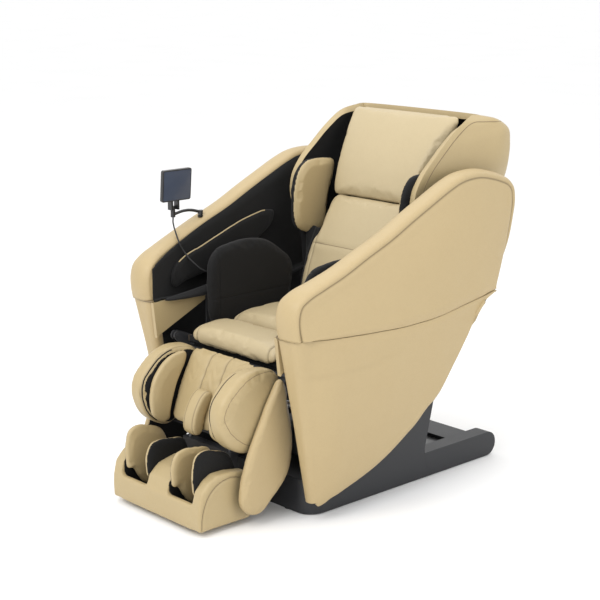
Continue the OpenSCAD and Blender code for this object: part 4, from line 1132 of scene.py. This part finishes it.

# %% [markdown]
# Black cloth closes the places where the floor would show through: the slot beside the back cushion,
# the gap between seat and back, and the front edge of the seat board.
# A thin plate closes the rear bridge's window from below, as the floor of its recess; its black is painted
# shade for the recess.

# %% Cloth beside the back cushion and over the seat board
back_face = [(0.548, 0.206), (0.575, 0.208), (0.600, 0.212), (0.625, 0.218), (0.650, 0.225), (0.700, 0.240),
             (0.740, 0.256), (0.790, 0.280)]
rows = []
for z, y in back_face:
    low = z < 0.64
    rows.append([(0.190, y + 0.012, z), (0.206, y + 0.010, z), (0.228, y + 0.022, z), (0.250, 0.280, z),
                 (0.268, 0.300, z), (0.302 if low else 0.2705, 0.322 if low else 0.306, z)])
for side, s in SIDES:
    cover = grid_object(f"back_cover_{side}", smooth_grid(flip(rows, s), 5, 5))
    use_modifier(cover, "SOLIDIFY", thickness=CLOTH_SKIN, offset=0)
    finish_piece(cover, "backrest", LINING)
crossing = [(0.138, 0.501), (0.150, 0.500), (0.170, 0.504), (0.194, 0.518), (0.214, 0.538), (0.232, 0.560)]
rows = [[(x, y, z) for y, z in crossing] for x in (-0.212, -0.1, 0, 0.1, 0.212)]
gap_cloth = grid_object("seat_gap_cloth", smooth_grid(np.array(rows), 5, 4))
use_modifier(gap_cloth, "SOLIDIFY", thickness=CLOTH_SKIN, offset=0)
finish_piece(gap_cloth, None, LINING)
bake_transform(gap_cloth)
bm = bmesh.new()
box(bm, (0, -0.2291, 0.47885), (0.4972, 0.0590, 0.0186))
soften(bm, bm.edges[:], 0.0015, 2)
box(bm, (0, -0.2370, 0.4480), (0.4900, 0.0020, 0.0440))
finish_piece(obj_from(bm, "seat_board_cover"), "seat", LINING, flat=True)
# Painted shade: the bridge plate is black for the shadow inside the recess.
bm = bmesh.new()
box(bm, (0, 0.414, 0.0568), (0.480, 0.184, 0.002))
finish_piece(obj_from(bm, "bridge_tray"), "base", FINISH["black_plastic"], flat=True)
print("cloth closers placed")

# %% [markdown]
# The tablet remote: a black plastic case with a narrow bezel, a screen plate set into it, two lugs
# on a tilt pin, a neck and an arched arm that swivels on the armrest.

# %% Tablet
TAB = Vector((-0.366, -0.209, 0.9705))
TAB_TURN = math.radians(5)
ct, st = math.cos(TAB_TURN), math.sin(TAB_TURN)


def on_tablet(v): return Vector((TAB.x + v.x * ct + v.z * st, TAB.y + v.y, TAB.z - v.x * st + v.z * ct))


bm = bmesh.new()
verts = box(bm, (0, 0, 0.004), (0.014, 0.121, 0.108))
upright = [e for e in bm.edges if abs(e.verts[0].co.x - e.verts[1].co.x) > 0.01]
soften(bm, upright, 0.007, 5)
rim = [e for e in bm.edges if abs(e.verts[0].co.x - e.verts[1].co.x) < 1e-6
       and abs(abs(e.verts[0].co.x) - 0.007) < 1e-6]
soften(bm, rim, 0.0022, 3)
face = max((f for f in bm.faces if f.normal.x > 0.99), key=lambda f: f.calc_area())
bmesh.ops.inset_region(bm, faces=[face], thickness=0.004, depth=0)
bmesh.ops.translate(bm, vec=(-0.0012, 0, 0), verts=face.verts)
for v in bm.verts:
    v.co = on_tablet(v.co)
for y in (-0.2252, -0.1988):
    box(bm, (-0.3765, y, 0.910), (0.021, 0.0070, 0.040))
case = finish_piece(obj_from(bm, "tablet_case"), "remote", FINISH["black_plastic"],
                    "remote_control", flat=True)
bm = bmesh.new()
box(bm, (0.0062, 0, 0.004), (0.0012, 0.1120, 0.0990))
soften(bm, [e for e in bm.edges if abs(e.verts[0].co.x - e.verts[1].co.x) > 0.0005], 0.003, 3)
for v in bm.verts:
    v.co = on_tablet(v.co)
p = Paint("dark_screen", Coat_Weight=0.6, Coat_Roughness=0.06, Specular_IOR_Level=0.5)
haze = p.noise(9, 2)
p.done(p.mix((haze * 0.6).clamp(), (0.045, 0.056, 0.085, 1), (0.085, 0.105, 0.15, 1)), 0.16 + haze * 0.06)
screen = finish_piece(obj_from(bm, "tablet_screen"), "remote", p.mat, flat=True)
print("tablet:", len(case.data.polygons) + len(screen.data.polygons), "faces")

# %% [markdown]
# The arm that carries the tablet gets a thin black sleeve along the same arch as its solid.

# %% Remote arm
arm_mm = [(-376, -99, 869), (-376, -112, 873), (-377, -128, 877.5), (-378, -148, 880.5), (-379, -168, 880.5),
          (-380, -188, 877.5), (-381, -206, 873)]
arm_line = [Vector(q) / 1000 for q in through(np.array(arm_mm, float), 4)]
arm = strip("remote_arm_skin", arm_line, 0.0052, "remote_swing", FINISH["black_plastic"])
print("remote arm:", len(arm.data.polygons), "faces over the solid arm")

# %% [markdown]
# Piping is a thin round cord sewn into an edge. It runs round the calf walls' inner edge and along
# the top of the hand pads. Finer cords mark the seams of the calf walls, foot rest and back; their
# darker tan is painted shade, for the shade in the seam grooves.

# %% Piping
def laid_strip(name, obj, line, radius, body, mat, sink=0.0004):
    return strip(name, [at - n * sink for at, n in snapped(obj, line)], radius, body, mat)


def cut_line(line, keep):
    """The longest run of a closed line where keep holds."""
    flags = [bool(keep(q)) for q in line]
    if all(flags):
        return line
    start = next(i for i in range(len(line)) if not flags[i - 1] and flags[i])
    order = [(start + k) % len(line) for k in range(len(line))]
    out = []
    for i in order:
        if not flags[i]:
            break
        out.append(line[i])
    return np.array(out)


wall_pair, hand_pair = pairs[0], pairs[4]
wall_edge = cut_line(rim_line(calf_wall_o, 166, 3), lambda q: q[1] < -0.392 and q[2] > 0.245)
for (side, s), o in zip(SIDES, wall_pair):
    laid_strip(f"calf_wall_piping_{side}", o, flip(wall_edge, s), 0.0022, "legrest", LINING)
hand_edge = cut_line(rim_line(hand_o, 337, 2, 6, lining_off),
                     lambda q: q[2] > 0.775 + 0.47 * q[1] and -0.238 < q[1] < 0.185)
for (side, s), o in zip(SIDES, hand_pair):
    laid_strip(f"hand_pad_piping_{side}", o, flip(hand_edge, s), 0.0024, "seat", TAN)
# The fine seam cords take the darker seam tan: painted shade along each seam.
for name, o, line, body in (
        ("d_seam_l", calf_wall, d_seam, "legrest"), ("d_seam_r", wall_pair[1], flip(d_seam, -1), "legrest"),
        ("foot_seam_l", foot_shell, foot_seam, "footrest"),
        ("foot_seam_r", foot_shell, foot_seam_r, "footrest"),
        ("back_mid_seam", back, through(mid, 4), "backrest")):
    laid_strip(name, o, line, 0.0009, body, SEAM_SHADE_TAN, 0.0003)
print("piping laid")

# %% [markdown]
# Stitches are fine rows of thread beside each main seam, one small capsule for every six or seven
# millimetres of seam.

# %% Stitches
rows_of_thread = [("wall_thread", wall_pair, d_seam, "legrest", 0.0035),
                  ("upper_thread", (upper, upper_r), seam_line[6:-6:3], "seat", 0.005),
                  ("foot_thread", (foot_shell, foot_shell), foot_seam, "footrest", 0.0035)]
for name, both, line, body, aside in rows_of_thread:
    for (side, s), o in zip(SIDES, both):
        stitches(f"{name}_{side}", o, flip(line, s), body, aside)
print("stitch rows:", 2 * len(rows_of_thread))

# %% [markdown]
# Studio: a plain pale floor with a soft shadow, one large soft light over the camera's left, a
# gentle fill from the right, and an even, bright world.

# %% Floor and light
FLOOR_HALF, SKY = 90, 1.13
p = Paint("studio_floor", Specular_IOR_Level=0.2)
shade = p.noise(1.4, 2)
p.done(p.mix(shade, (0.86, 0.86, 0.86, 1), (0.90, 0.90, 0.90, 1)), 0.7 + shade * 0.05)
bm = bmesh.new()
bmesh.ops.create_grid(bm, x_segments=2, y_segments=2, size=FLOOR_HALF)
floor = obj_from(bm, "studio_floor")
floor.data.materials.append(p.mat)


def lamp(name, at, target, size, power):
    data = bpy.data.lights.new(name, "AREA")
    data.shape, data.size, data.energy = "SQUARE", size, power
    obj = new_object(name, data)
    aim(obj, at, Vector(target) - Vector(at))
    return obj


key = lamp("key_light", (0.6, -3.4, 3.4), (0, 0, 0.5), 2.6, 95)
side = lamp("side_light", (3.8, 0.4, 2.4), (0, 0, 0.6), 2.4, 34)
top = lamp("top_light", (-0.6, 0.6, 4.2), (0, 0, 0.4), 3.0, 45)
world = bpy.data.worlds.new("studio_world")
bpy.context.scene.world = world
world.use_nodes = True
sky = world.node_tree.nodes["Background"]
sky.inputs["Color"].default_value = (1, 1, 1, 1)
sky.inputs["Strength"].default_value = SKY
bpy.context.scene.view_settings.view_transform = "Standard"
print("studio set")
